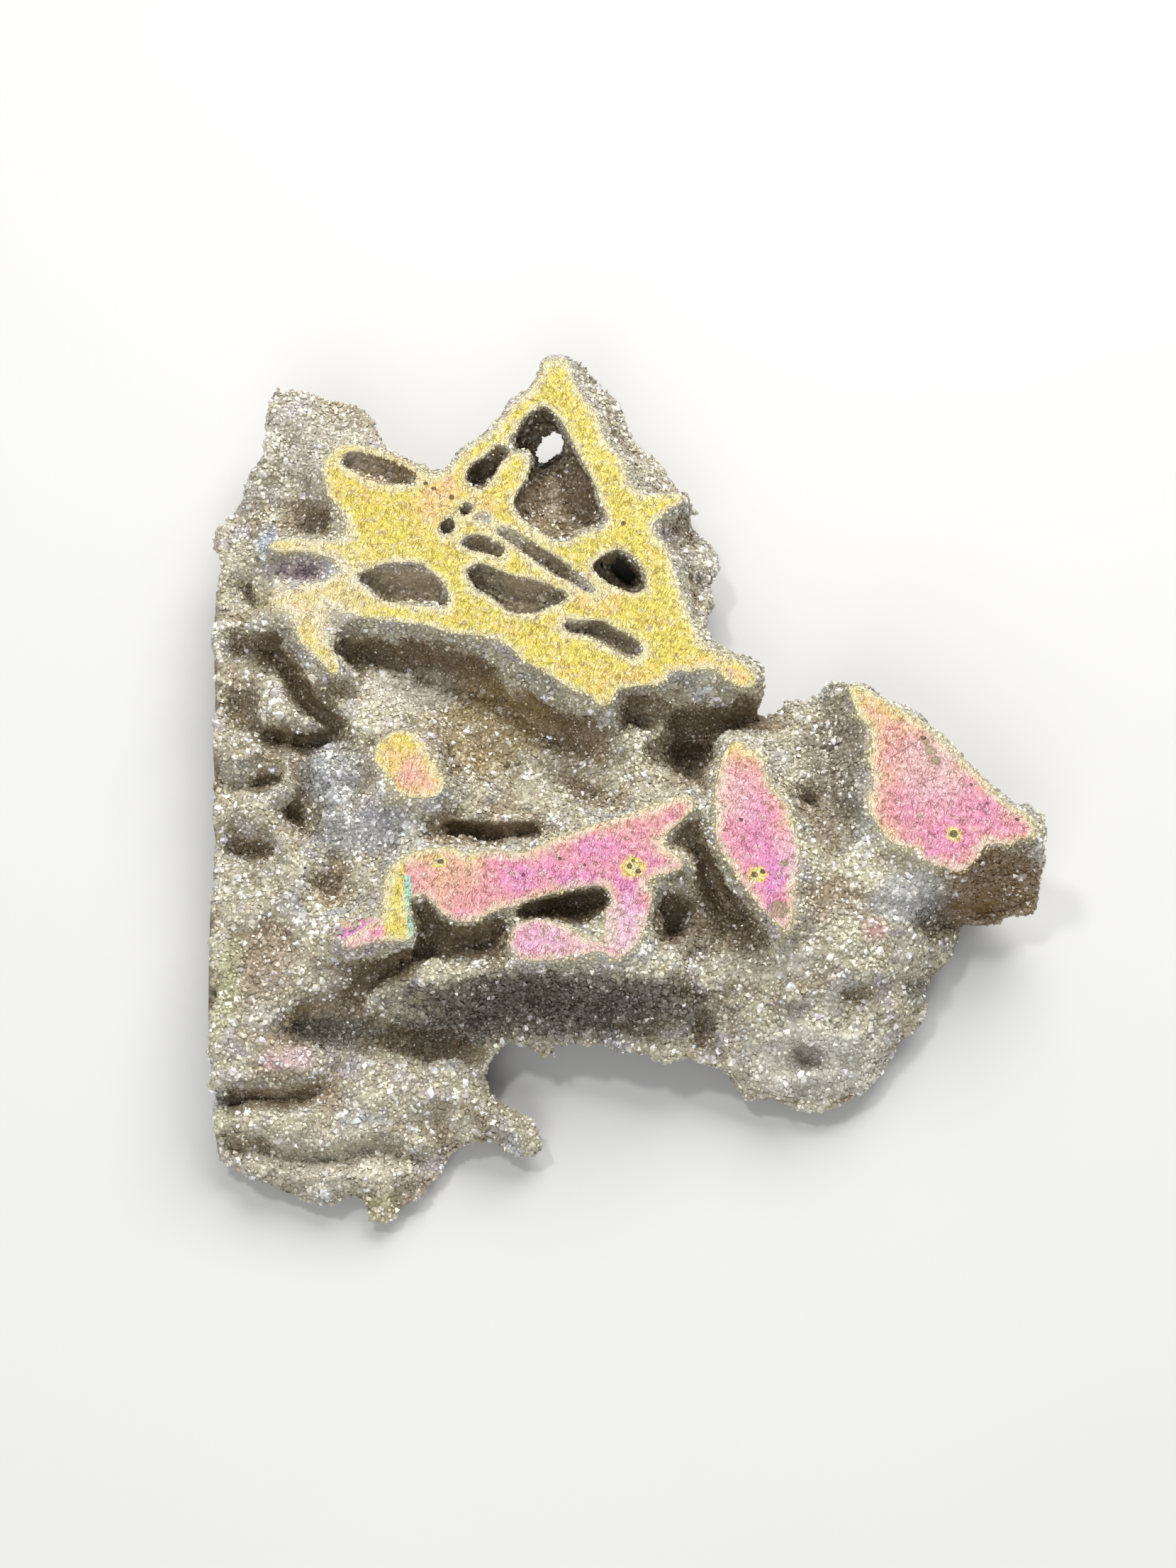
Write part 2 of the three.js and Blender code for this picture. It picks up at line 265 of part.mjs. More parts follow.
  { wide: 0.5, line: [[-48.6, -44.4, 12], [-42.9, -44.4, 11.5], [-39.6, -44.5, 11.5], [-36.4, -43, 11.5]] },
  { wide: 0.5, line: [[-49, -46, 7], [-43, -46.2, 6.5], [-38, -46.2, 6.8], [-34.9, -44.2, 7.5],
    [-33.4, -41, 8.3]] },
  { wide: 1, line: [[-30.5, -40.6, 10.3], [-24, -41.8, 10.3], [-17.5, -42.6, 9.8]] },
  { wide: 1.6, line: [[-46, -48.6, 9.5], [-40, -49.4, 9.5], [-33, -48.5, 9.5], [-27, -47, 10]] },
  { wide: 0.5, line: [[-48.4, -51, 8.7], [-42.9, -51.2, 8.5], [-39.9, -52.6, 8], [-33.6, -52.7, 8],
    [-29.9, -51.2, 8.3], [-25, -51.6, 8.2], [-22.4, -52.8, 7.5], [-19.6, -53, 6.5]] },
  { wide: 0.4, line: [[-47, -52.6, 5], [-43, -52.7, 4.7], [-39.5, -54.2, 4.3], [-33.6, -54.3, 4.3],
    [-29.5, -52.9, 4.7], [-25, -53.2, 4.6], [-21.5, -54.4, 4]] },
  { wide: 0.9, line: [[-20.5, -46, 10], [-15.5, -48.2, 9.3], [-11, -50.6, 8.5], [-8.2, -52, 7]] },
  { wide: 0.4, line: [[-21.5, -48.6, 7.5], [-17.5, -50.6, 6.3], [-14.6, -52.3, 5]] },
  { wide: 1.2, line: [[-43.5, -55.6, 7], [-37, -57, 7.5], [-30, -56.8, 7.5], [-24, -57.3, 7]] },
  { wide: 1, line: [[-26.4, -60.9, 5.3]] },
  // floors of the pockets in the net
  { wide: 0.7, line: [[-36, 54.2, 19], [-31.5, 52, 18], [-27.5, 51.2, 18.5]] },
  { wide: 0.5, line: [[-17.3, 50.8, 15], [-15, 52, 14], [-12.8, 55.6, 14.5], [-9.8, 57, 13]] },
  { wide: 1.6, line: [[-7, 47.5, 14], [-3.5, 52.5, 15.5], [-0.6, 46.5, 14], [-4.4, 43, 14.5]] },
  { wide: 0.4, line: [[-18.4, 45.3, 17.5], [-16.2, 44.2, 17.5]] },
  { wide: 0.4, line: [[-12.8, 41.6, 17], [-9.3, 38.9, 16.5], [-3.3, 34.5, 16.5], [0.5, 31.8, 17]] },
  { wide: 0.5, line: [[-17.5, 39.4, 17.5], [-13.5, 38.4, 17]] },
  { wide: 1, line: [[-15.6, 33.2, 15.5], [-10.5, 30, 14.5], [-6, 30.4, 15]] },
  { wide: 1, line: [[-31.5, 32.2, 16.5], [-26.5, 31, 14.5], [-22.6, 30.4, 14]] },
  { wide: 0.5, line: [[-2.5, 25.5, 18], [2.4, 24.2, 17], [6.3, 21.6, 17.5]] },
  { wide: 0.4, line: [[-21.3, 42, 13], [-20.9, 43, 13]] },
];

const TINY = 1e-9;
const SPAN = 65536; // more than the number of points, so that an edge is one number
const noise = new ImprovedNoise();
const bump = ({ size, height }, x, y) => height * noise.noise(x / size, y / size, size);
const area = (a, b, c) => (b.x - a.x) * (c.y - a.y) - (c.x - a.x) * (b.y - a.y);
const ahead = (a, b, c) => (b.x - a.x) * (c.x - a.x) + (b.y - a.y) * (c.y - a.y);
const cornerAngle = (a, b, c) => Math.abs(Math.atan2(area(a, b, c), ahead(a, b, c)));

// Evenly spaced points along a closed outline of [x, y, z].
function traced(points, step, z) {
  const corners = points.map((p) => new THREE.Vector3(p[0], p[1], p[2] ?? z));
  const curve = new THREE.CatmullRomCurve3(corners, true, "centripetal");
  return curve.getSpacedPoints(Math.round(curve.getLength() / step)).slice(0, -1);
}

// Points along an open line, its ends included.
function dotted(line, step) {
  const dots = [];
  line.forEach((p, i) => {
    const start = new THREE.Vector3(...p);
    const end = new THREE.Vector3(...(line[i + 1] ?? p));
    const parts = Math.max(1, Math.round(start.distanceTo(end) / step));
    for (let k = 0; k < parts; k += 1) dots.push(start.clone().lerp(end, k / parts));
  });
  return dots;
}

function inside(p, loop) {
  let odd = false;
  loop.forEach((a, i) => {
    const b = loop[(i + 1) % loop.length];
    const crosses = a.y > p.y !== b.y > p.y;
    if (crosses && p.x < a.x + ((p.y - a.y) / (b.y - a.y)) * (b.x - a.x)) odd = !odd;
  });
  return odd;
}

// A triangulated skin over the drawing. Its outlines keep their edges, and every other edge may turn
// to give rounder triangles. For the edge a to b of a triangle a, b, c, far holds the corner c.
class Skin {
  constructor() {
    this.points = [];
    this.far = new Map();
    this.kept = new Set();
  }

  key(a, b) {
    return a * SPAN + b;
  }

  ends(edge) {
    return [Math.floor(edge / SPAN), edge % SPAN];
  }

  addPoint(p, fixed) {
    this.points.push(Object.assign(p, { fixed }));
    return this.points.length - 1;
  }

  addTriangle(a, b, c) {
    this.far.set(this.key(a, b), c).set(this.key(b, c), a).set(this.key(c, a), b);
  }

  dropTriangle(a, b, c) {
    for (const [p, q] of [[a, b], [b, c], [c, a]]) this.far.delete(this.key(p, q));
  }

  // Fills an outline, less the outlines inside it; each outline is a list of point numbers.
  fillRegion(outline, holes) {
    const at = (loop) => loop.map((i) => this.points[i]);
    const numbers = [outline, ...holes].flat();
    for (const loop of [outline, ...holes])
      loop.forEach((a, i) => {
        const b = loop[(i + 1) % loop.length];
        this.kept.add(this.key(a, b)).add(this.key(b, a));
      });
    for (const face of THREE.ShapeUtils.triangulateShape(at(outline), holes.map(at))) {
      const [a, b, c] = face.map((i) => numbers[i]);
      if (area(this.points[a], this.points[b], this.points[c]) > 0) this.addTriangle(a, b, c);
      else this.addTriangle(a, c, b);
    }
  }

  // Turns the edge a to b if that gives rounder triangles, and then looks at the edges around it.
  relaxEdge(a, b) {
    const c = this.far.get(this.key(a, b));
    const d = this.far.get(this.key(b, a));
    if (c === undefined || d === undefined || this.kept.has(this.key(a, b))) return;
    const [pa, pb, pc, pd] = [a, b, c, d].map((i) => this.points[i]);
    if (area(pc, pd, pb) <= TINY || area(pd, pc, pa) <= TINY) return;
    if (cornerAngle(pc, pa, pb) + cornerAngle(pd, pa, pb) <= Math.PI + TINY) return;
    this.dropTriangle(a, b, c);
    this.dropTriangle(b, a, d);
    this.addTriangle(c, d, b);
    this.addTriangle(d, c, a);
    for (const [p, q] of [[a, c], [c, b], [b, d], [d, a]]) this.relaxEdge(p, q);
  }

  relaxAll() {
    for (const edge of [...this.far.keys()]) this.relaxEdge(...this.ends(edge));
  }

  triangles() {
    const list = [];
    for (const [edge, c] of this.far) {
      const [a, b] = this.ends(edge);
      if (a < b && a < c) list.push([a, b, c]);
    }
    return list;
  }

  insert(p, fixed) {
    for (const [edge, c] of this.far) {
      const [a, b] = this.ends(edge);
      if (a > b || a > c) continue;
      const [pa, pb, pc] = [a, b, c].map((i) => this.points[i]);
      if (area(pa, pb, p) <= 0 || area(pb, pc, p) <= 0 || area(pc, pa, p) <= 0) continue;
      const n = this.addPoint(p, fixed);
      this.dropTriangle(a, b, c);
      for (const [q, r] of [[a, b], [b, c], [c, a]]) this.addTriangle(q, r, n);
      for (const [q, r] of [[a, b], [b, c], [c, a]]) this.relaxEdge(q, r);
      return;
    }
  }

  heightAt(p) {
    for (const [a, b, c] of this.triangles().map((corners) => corners.map((i) => this.points[i]))) {
      const shares = [area(b, c, p), area(c, a, p), area(a, b, p)].map((share) => share / area(a, b, c));
      if (Math.min(...shares) > -TINY) return shares[0] * a.z + shares[1] * b.z + shares[2] * c.z;
    }
    return FACE_Z;
  }

  crowded(p, least) {
    return this.points.some((q) => (q.x - p.x) ** 2 + (q.y - p.y) ** 2 < least * least);
  }

  // Stretches the free points between the fixed ones, like a membrane.
  stretch() {
    const near = this.points.map(() => []);
    for (const [a, b] of [...this.far.keys()].map(this.ends)) near[a].push(this.points[b]);
    const free = this.points.filter((p, i) => !p.fixed && Object.assign(p, { near: near[i] }));
    for (let pass = 0; pass < SWEEPS; pass += 1)
      for (const p of free) p.z = p.near.reduce((sum, q) => sum + q.z, 0) / p.near.length;
  }
}

// A staggered grid of points over the drawing, a little shaken so that no rows show.
function* scattered(step) {
  const rows = Math.ceil(150 / (step * 0.866));
  for (let row = -rows / 2; row < rows / 2; row += 1)
    for (let column = -80 / step; column < 80 / step; column += 1) {
      const x = (column + (row & 1) / 2) * step;
      const y = row * step * 0.866;
      const shake = 0.35 * step;
      yield new THREE.Vector3(x + shake * noise.noise(x, y, 0.3), y + shake * noise.noise(x, y, 7.7), 0);
    }
}

const rim = traced(RIM, EDGE_STEP);
const net = traced(NET, EDGE_STEP, FACE_Z);
const plates = PLATES.map((points) => traced(points, EDGE_STEP, FACE_Z));
const pockets = POCKETS.map((points) => traced(points, EDGE_STEP, FACE_Z));
const gaps = GAPS.map(({ z, points }) => traced(points, EDGE_STEP * 0.8, z));
const onFace = (p) =>
  plates.some((loop) => inside(p, loop)) ||
  (inside(p, net) && !pockets.some((loop) => inside(p, loop)));

// The upper skin: sawn faces, crust and pockets.
function upperSkin() {
  const skin = new Skin();
  const added = (loop) => loop.map((p) => skin.addPoint(p, true));
  const rimAt = added(rim);
  const gapsAt = gaps.map(added);
  const netAt = added(net);
  const platesAt = plates.map(added);
  const pocketsAt = pockets.map(added);
  skin.fillRegion(rimAt, [netAt, ...platesAt]);
  skin.fillRegion(netAt, pocketsAt);
  platesAt.forEach((plate) => skin.fillRegion(plate, []));
  pocketsAt.forEach((pocket, i) => {
    skin.fillRegion(pocket, gapsAt.filter((gap, k) => inside(gaps[k][0], pockets[i])));
  });
  skin.relaxAll();
  for (const { line } of CRUST)
    for (const dot of dotted(line, EDGE_STEP)) if (!skin.crowded(dot, LINE_CLEAR)) skin.insert(dot, true);
  for (const p of scattered(FACE_STEP))
    if (onFace(p) && !skin.crowded(p, CLEAR * FACE_STEP)) skin.insert(Object.assign(p, { z: FACE_Z }), true);
  const crust = [];
  for (const p of scattered(CRUST_STEP)) {
    if (onFace(p) || skin.crowded(p, CLEAR * CRUST_STEP)) continue;
    skin.insert(p, false);
    crust.push(p);
  }
  for (const { wide, line } of CRUST) {
    const dots = dotted(line, LINE_CLEAR);
    for (const p of crust) {
      const near = dots.find((dot) => Math.hypot(dot.x - p.x, dot.y - p.y) < wide);
      if (near) Object.assign(p, { z: near.z, fixed: true });
    }
  }
  skin.stretch();
  for (const p of crust)
    p.z = Math.min(p.z + bump(LUMP, p.x, p.y) + bump(GRAIN, p.x, p.y), FACE_Z - CRUST_DROP);
  return skin;
}

// The lower skin: the flat underside and the slopes that rise from it to the rim and the gaps.
function lowerSkin(upper) {
  const skin = new Skin();
  const added = (loop) => loop.map((p) => skin.addPoint(p, true));
  const rimAt = added(rim);
  const gapsAt = gaps.map(added);
  const footprint = traced(FOOTPRINT, FOOT_STEP, 0);
  const footprintAt = added(footprint);
  const skirtAt = added(traced(GAP_SKIRT, FOOT_STEP, 0));
  skin.fillRegion(rimAt, [footprintAt, gapsAt[0]]);
  skin.fillRegion(footprintAt, [skirtAt]);
  skin.fillRegion(skirtAt, [gapsAt[1]]);
  skin.relaxAll();
  for (const p of scattered(FOOT_STEP))
    if (!inside(p, footprint) && !skin.crowded(p, CLEAR * FOOT_STEP)) skin.insert(p, false);
  skin.stretch();
  for (const p of skin.points) {
    if (p.fixed) continue;
    const highest = upper.heightAt(p) - LEAST_WALL;
    p.z = Math.max(Math.min(p.z + bump(LUMP, p.x, p.y), highest), 0.3);
  }
  return skin;
}

// Carries a drawn point along its line of sight from the sawn plane to its own height.
function place({ x, y, z }) {
  const reach = (EYE.z - z) / (EYE.z - FACE_Z);
  return [EYE.x + (x - EYE.x) * reach, EYE.y + (y - EYE.y) * reach, z];
}

const wasm = await Module();
wasm.setup();

function solidOf(vertProperties, triVerts) {
  return new wasm.Manifold(new wasm.Mesh({ numProp: 3, vertProperties, triVerts }));
}

// Both skins share the points of the rim and of the gaps, which come first in each.
function closedSolid(upper, lower) {
  const shared = rim.length + gaps.flat().length;
  const shift = upper.points.length - shared;
  const below = (i) => (i < shared ? i : i + shift);
  const points = [...upper.points, ...lower.points.slice(shared)];
  const downward = lower.triangles().map(([a, b, c]) => [a, c, b].map(below));
  return solidOf(
    new Float32Array(points.flatMap(place)),
    new Uint32Array([...upper.triangles(), ...downward].flat()),
  );
}

// What the saw took off the left side: a block whose right face leans with the cut.
function sideBlock() {
  const { x, lean, y0, y1, thick } = SIDE_CUT;
  const corner = (y, back) => new THREE.Vector2(x + lean * y - back, y);
  const outline = new THREE.Shape([corner(y0, 0), corner(y1, 0), corner(y1, thick), corner(y0, thick)]);
  const block = new THREE.ExtrudeGeometry(outline, { depth: 2 * FACE_Z, bevelEnabled: false });
  block.translate(0, 0, -FACE_Z / 2);
  for (const name of ["normal", "uv"]) block.deleteAttribute(name);
  const merged = mergeVertices(block);
  return solidOf(merged.attributes.position.array, new Uint32Array(merged.index.array));
}

// The slab as one geometry, moved so that the middle of its box is at the origin, on the ground.
function slabGeometry() {
  const upper = upperSkin();
  const sawn = closedSolid(upper, lowerSkin(upper)).subtract(sideBlock());
  const { vertProperties, triVerts } = sawn.getMesh();
  const geometry = new THREE.BufferGeometry();
  geometry.setAttribute("position", new THREE.BufferAttribute(vertProperties, 3));
  geometry.setIndex(new THREE.BufferAttribute(triVerts, 1));
  geometry.computeBoundingBox();
  const middle = geometry.boundingBox.getCenter(new THREE.Vector3());
  geometry.translate(-middle.x, -middle.y, -geometry.boundingBox.min.z);
  geometry.computeVertexNormals();
  return geometry;
}

const drusyQuartz = new THREE.MeshStandardMaterial({
  color: 0xb9b2a2,
  roughness: 0.45,
  metalness: 0,
  flatShading: true,
});
const slab = new THREE.Mesh(slabGeometry(), drusyQuartz);
slab.name = "druzy_slab";

export default new THREE.Group().add(slab);
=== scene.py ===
# %% [markdown]
# # A druzy slab with a coated, sawn face
# The object is one grown piece of stone: walls of quartz that crossed each other in a cavity, with a
# crust of fine quartz points on every wall. A saw has cut it flat on top, underneath and down its left
# side, and a thin metal film on the top gives the cut walls their yellow, orange, pink and magenta.
# The CAD model holds the form. This lesson dresses it: a finer skin, a crust of crystal points grown
# by Geometry Nodes, and finishes mixed in the shader.

# %% Load the slab
import math

import bmesh
import bpy
import numpy as np
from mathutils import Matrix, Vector, bvhtree, kdtree, noise


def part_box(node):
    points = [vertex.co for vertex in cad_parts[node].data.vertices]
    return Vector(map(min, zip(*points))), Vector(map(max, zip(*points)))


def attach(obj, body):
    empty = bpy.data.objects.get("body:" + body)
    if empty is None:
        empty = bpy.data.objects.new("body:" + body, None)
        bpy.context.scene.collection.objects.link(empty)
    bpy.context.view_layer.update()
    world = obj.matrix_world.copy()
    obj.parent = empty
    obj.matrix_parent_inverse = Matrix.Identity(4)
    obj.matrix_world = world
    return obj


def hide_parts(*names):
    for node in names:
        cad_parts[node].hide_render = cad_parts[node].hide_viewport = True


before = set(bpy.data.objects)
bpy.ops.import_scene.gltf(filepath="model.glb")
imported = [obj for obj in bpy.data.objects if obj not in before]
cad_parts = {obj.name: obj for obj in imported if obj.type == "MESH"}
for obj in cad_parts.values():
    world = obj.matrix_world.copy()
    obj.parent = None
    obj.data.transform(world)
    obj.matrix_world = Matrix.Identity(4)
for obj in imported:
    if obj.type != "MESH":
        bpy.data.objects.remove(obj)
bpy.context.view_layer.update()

MM = 0.001
NODE = "druzy_slab"
slab_low, slab_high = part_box(NODE)
FACE_Z = slab_high.z / MM  # height of the sawn face, in millimetres
print(f"slab: {(slab_high - slab_low) / MM} mm")

# %% [markdown]
# ## The camera
# The slab lies flat and is seen from the front, from 64 degrees above the table. The lens shows the whole
# slab with wide margins. The camera comes first, because each later choice is judged through it.

# %% Place the camera
CAMERA_AIM = Vector((-4.05, -8.96, FACE_Z)) * MM  # a point on the sawn face
CAMERA_DISTANCE = 0.330
CAMERA_ELEVATION = math.radians(64)
SENSOR = 36.0
FOCAL_PER_HEIGHT = 3300 / 2212  # focal length over the picture's long side

camera_data = bpy.data.cameras.new("camera")
camera_data.sensor_width = SENSOR
camera_data.lens = SENSOR * FOCAL_PER_HEIGHT
camera_data.clip_start = 0.01
camera = bpy.data.objects.new("camera", camera_data)
bpy.context.scene.collection.objects.link(camera)
towards_viewer = Vector((0, -math.cos(CAMERA_ELEVATION), math.sin(CAMERA_ELEVATION)))
camera.location = CAMERA_AIM + towards_viewer * CAMERA_DISTANCE
camera.rotation_euler = (-towards_viewer).to_track_quat("-Z", "Y").to_euler()
bpy.context.scene.camera = camera
print(f"camera: {camera_data.lens:.1f} mm lens, {CAMERA_DISTANCE} m from the sawn face")

# %% [markdown]
# ## Light and floor
# Crystals are small mirrors, so they need something bright to reflect. A wide soft light stands behind
# the slab, a little to the right, and puts the walls that face the viewer in shade, as a window would.
# A small, harder light makes single facets flash. A third one, in front, and a pale sky fill the shadows.

# %% Add the lights and the floor
LIGHTS = {
    # name: (place, size, power in watts, colour)
    "window": ((0.12, 0.38, 0.48), 0.46, 4.9, (1.0, 0.985, 0.96)),
    "lamp": ((-0.20, 0.10, 0.62), 0.07, 1.15, (1.0, 0.99, 0.97)),
    "fill": ((-0.10, -0.55, 0.50), 0.45, 2.7, (0.97, 0.98, 1.0)),
}
SKY = (0.78, 0.8, 0.84, 1)
SKY_STRENGTH = 0.42
FLOOR_COLOUR = (0.56, 0.56, 0.55, 1)


def add_light(name, place, size, power, colour):
    light = bpy.data.lights.new(name, "AREA")
    light.size, light.energy, light.color = size, power, colour
    lamp = bpy.data.objects.new(name, light)
    bpy.context.scene.collection.objects.link(lamp)
    lamp.location = place
    lamp.rotation_euler = (CAMERA_AIM - lamp.location).to_track_quat("-Z", "Y").to_euler()


for name, facts in LIGHTS.items():
    add_light(name, *facts)

world = bpy.data.worlds.new("pale sky")
world.use_nodes = True
world.node_tree.nodes["Background"].inputs["Color"].default_value = SKY
world.node_tree.nodes["Background"].inputs["Strength"].default_value = SKY_STRENGTH
bpy.context.scene.world = world
bpy.context.scene.view_settings.view_transform = "Standard"

floor_mesh = bpy.data.meshes.new("floor")
floor_mesh.from_pydata([(-3, -3, 0), (3, -3, 0), (3, 3, 0), (-3, 3, 0)], [], [(0, 1, 2, 3)])
floor = bpy.data.objects.new("floor", floor_mesh)
bpy.context.scene.collection.objects.link(floor)
print(f"lights: {', '.join(LIGHTS)}")

# %% [markdown]
# ## Writing shaders as sums
# A material is a net of nodes, but most of it is arithmetic. The class Shade wraps one socket and turns
# +, -, * and / into Math nodes, so that a mask can be written as a formula.


# %% Do arithmetic on sockets
class Shade:
    """One value in a material. Arithmetic on it adds Math nodes."""

    def __init__(self, paint, socket):
        self.paint, self.socket = paint, socket

    def math(self, operation, *others):
        inputs = dict(enumerate([self, *others]))
        return self.paint.node("ShaderNodeMath", {"operation": operation}, inputs)

    def __add__(self, other):
        return self.math("ADD", other)

    def __sub__(self, other):
        return self.math("SUBTRACT", other)

    def __mul__(self, other):
        return self.math("MULTIPLY", other)

    def __truediv__(self, other):
        return self.math("DIVIDE", other)

    def __rsub__(self, other):
        return (self * -1) + other

    __radd__ = __add__
    __rmul__ = __mul__

    def rise(self, low, high):
        """0 below low, 1 above high, and a smooth climb between them."""
        settings = {"interpolation_type": "SMOOTHSTEP"}
        inputs = {"Value": self, "From Min": low, "From Max": high}
        return self.paint.node("ShaderNodeMapRange", settings, inputs)

    def sibling(self, output):
        """Another output of the node that this value comes from."""
        return Shade(self.paint, self.socket.node.outputs[output])


# %% [markdown]
# Paint is a material. It makes every other node with one method, which takes the node's settings first
# and then what goes into its sockets. Colours and vectors have methods of their own, because a Math node
# would turn a colour grey.


# %% Make a material's nodes
class Paint:
    """A material with a Principled shader."""

    def __init__(self, name, **constants):
        self.material = bpy.data.materials.new(name)
        self.material.use_nodes = True
        self.tree = self.material.node_tree
        self.shader = self.tree.nodes["Principled BSDF"]
        for socket, value in constants.items():
            self.shader.inputs[socket.replace("_", " ")].default_value = value

    def node(self, kind, settings=None, inputs=None, output=0):
        made = self.tree.nodes.new(kind)
        for key, value in (settings or {}).items():
            if key == "stops":
                self.set_stops(made.color_ramp.elements, value)
            else:
                setattr(made, key, value)
        for key, value in (inputs or {}).items():
            self.fill(made.inputs[key], value)
        return Shade(self, made.outputs[output])

    def set_stops(self, elements, stops):
        while len(elements) < len(stops):
            elements.new(1.0)
        for element, (position, colour) in zip(elements, stops):
            element.position, element.color = position, colour

    def fill(self, socket, value):
        if isinstance(value, Shade):
            self.tree.links.new(value.socket, socket)
        else:
            socket.default_value = value

    def put(self, socket, value):
        self.fill(self.shader.inputs[socket], value)

    def attribute(self, name, output="Fac"):
        return self.node("ShaderNodeAttribute", {"attribute_name": name}, output=output)

    def vector(self, operation, *terms, **named):
        """Arithmetic on places and directions. A distance or a dot product comes out as a number."""
        output = "Value" if operation in ("DISTANCE", "DOT_PRODUCT") else "Vector"
        inputs = {**dict(enumerate(terms)), **named}
        return self.node("ShaderNodeVectorMath", {"operation": operation}, inputs, output)

    def place(self):
        """The point's place in millimetres, as a vector."""
        return self.vector("SCALE", self.node("ShaderNodeTexCoord", output="Object"), Scale=1 / MM)

    def noise(self, vector, per_mm, detail=3.0, roughness=0.6, distortion=0.0):
        inputs = {
            "Vector": vector,
            "Scale": per_mm,
            "Detail": detail,
            "Roughness": roughness,
            "Distortion": distortion,
        }
        return self.node("ShaderNodeTexNoise", {}, inputs, output="Fac")

    def facets(self, place, per_mm, tilt_mm):
        """Flat cells, each with its own random tilt. Returns their height and a random tone."""
        here = self.vector("SCALE", place, Scale=per_mm)
        middle = self.node("ShaderNodeTexVoronoi", {}, {"Vector": here, "Scale": 1.0}, output="Position")
        tone = middle.sibling("Color")
        slope = self.vector("SUBTRACT", tone, (0.5, 0.5, 0.5))
        height = self.vector("DOT_PRODUCT", self.vector("SUBTRACT", here, middle), slope)
        return height * (tilt_mm / per_mm), tone * 1.0  # a Math node makes one number of the random colour

    def ramp(self, value, stops):
        return self.node("ShaderNodeValToRGB", {"stops": stops}, {"Fac": value}, output="Color")

    def blend(self, factor, first, second, how="MIX"):
        settings = {"data_type": "RGBA", "blend_type": how}
        return self.node("ShaderNodeMix", settings, {0: factor, 6: first, 7: second}, output=2)

    def combine(self, x, y, z):
        return self.node("ShaderNodeCombineXYZ", {}, {0: x, 1: y, 2: z})

    def relief(self, height, distance_mm, strength=1.0):
        inputs = {"Height": height, "Distance": distance_mm * MM, "Strength": strength}
        self.put("Normal", self.node("ShaderNodeBump", {}, inputs))


# %% [markdown]
# The floor is the plainest use of them: a grey, and very little of a second one, mixed in by a slow noise.

# %% Paint the floor
floor_paint = Paint("pale floor", Roughness=0.85)
speckle = floor_paint.noise(floor_paint.place(), 0.02)
floor_paint.put("Base Color", floor_paint.blend(speckle * 0.1, FLOOR_COLOUR, (0.46, 0.46, 0.46, 1)))
floor_mesh.materials.append(floor_paint.material)
print(f"floor: a material of {len(floor_paint.tree.nodes)} nodes")

# %% [markdown]
# ## A finer skin
# Most CAD faces are two or three millimetres across. A voxel remesh lays an even grid over them, fine
# enough to carry small lumps and to hold a value at each point. First the rim is found: the edges where
# the sawn face meets the crust. The film and the crystals will ask how far away it is.

# %% Find the rim of the sawn face
RIM_STEP = 0.25  # millimetres between the rim's sample points


def merged_copy(source):
    copy = bmesh.new()
    copy.from_mesh(source.data)
    bmesh.ops.remove_doubles(copy, verts=copy.verts, dist=1e-6)
    copy.normal_update()
    return copy


def rim_chains(shape):
    """The loops of points, in millimetres, where the flat top ends."""

    def on_top(face):
        return face.normal.z > 0.9999 and face.calc_center_median().z / MM > FACE_Z - 0.01

    edges = [e for e in shape.edges if len({on_top(f) for f in e.link_faces}) == 2]
    at_point = {}
    for edge in edges:
        for vertex in edge.verts:
            at_point.setdefault(vertex, []).append(edge)
    unused = set(edges)
    chains = []
    for first in edges:
        if first not in unused:
            continue
        unused.discard(first)
        chain = list(first.verts)
        while True:
            onward = [e for e in at_point[chain[-1]] if e in unused]
            if not onward:
                break
            unused.discard(onward[0])
            chain.append(onward[0].other_vert(chain[-1]))
        chains.append([np.array(v.co) / MM for v in chain])
    return chains


def rim_samples(chains):
    samples = []
    for chain in chains:
        for start, end in zip(chain, chain[1:]):
            parts = max(1, round(float(np.linalg.norm(end - start)) / RIM_STEP))
            samples += [start + (end - start) * k / parts for k in range(parts)]
    return np.array(samples)


cad_copy = merged_copy(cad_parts[NODE])
chains = rim_chains(cad_copy)
rim = rim_samples(chains)
rim_tree = kdtree.KDTree(len(rim))
for index, point in enumerate(rim):
    rim_tree.insert(point, index)
rim_tree.balance()
print(f"rim: {len(chains)} loops, {len(rim)} samples")

# %% [markdown]
# Subdividing the CAD faces would keep their long, thin triangles. A voxel grid has faces of one size, as
# small lumps need. At this width it stays just under 200,000 triangles, the most that a piece may have.

# %% Lay an even grid over the form
VOXEL = 0.64  # width of a cell


def remeshed(shape, voxel):
    rough_mesh = bpy.data.meshes.new("rough")
    shape.to_mesh(rough_mesh)
    rough = bpy.data.objects.new("rough", rough_mesh)
    bpy.context.scene.collection.objects.link(rough)
    grid = rough.modifiers.new("grid", "REMESH")
    grid.mode, grid.voxel_size = "VOXEL", voxel * MM
    depsgraph = bpy.context.evaluated_depsgraph_get()
    fine = bpy.data.meshes.new_from_object(rough.evaluated_get(depsgraph))
    bpy.data.objects.remove(rough)
    return fine


skin = remeshed(cad_copy, VOXEL)
cad_copy.free()
count = len(skin.vertices)


def read(kind):
    values = np.zeros(count * 3)
    skin.vertices.foreach_get(kind, values)
    return values.reshape(-1, 3)


points = read("co") / MM
print(f"skin: {count} points, {len(skin.polygons)} faces")

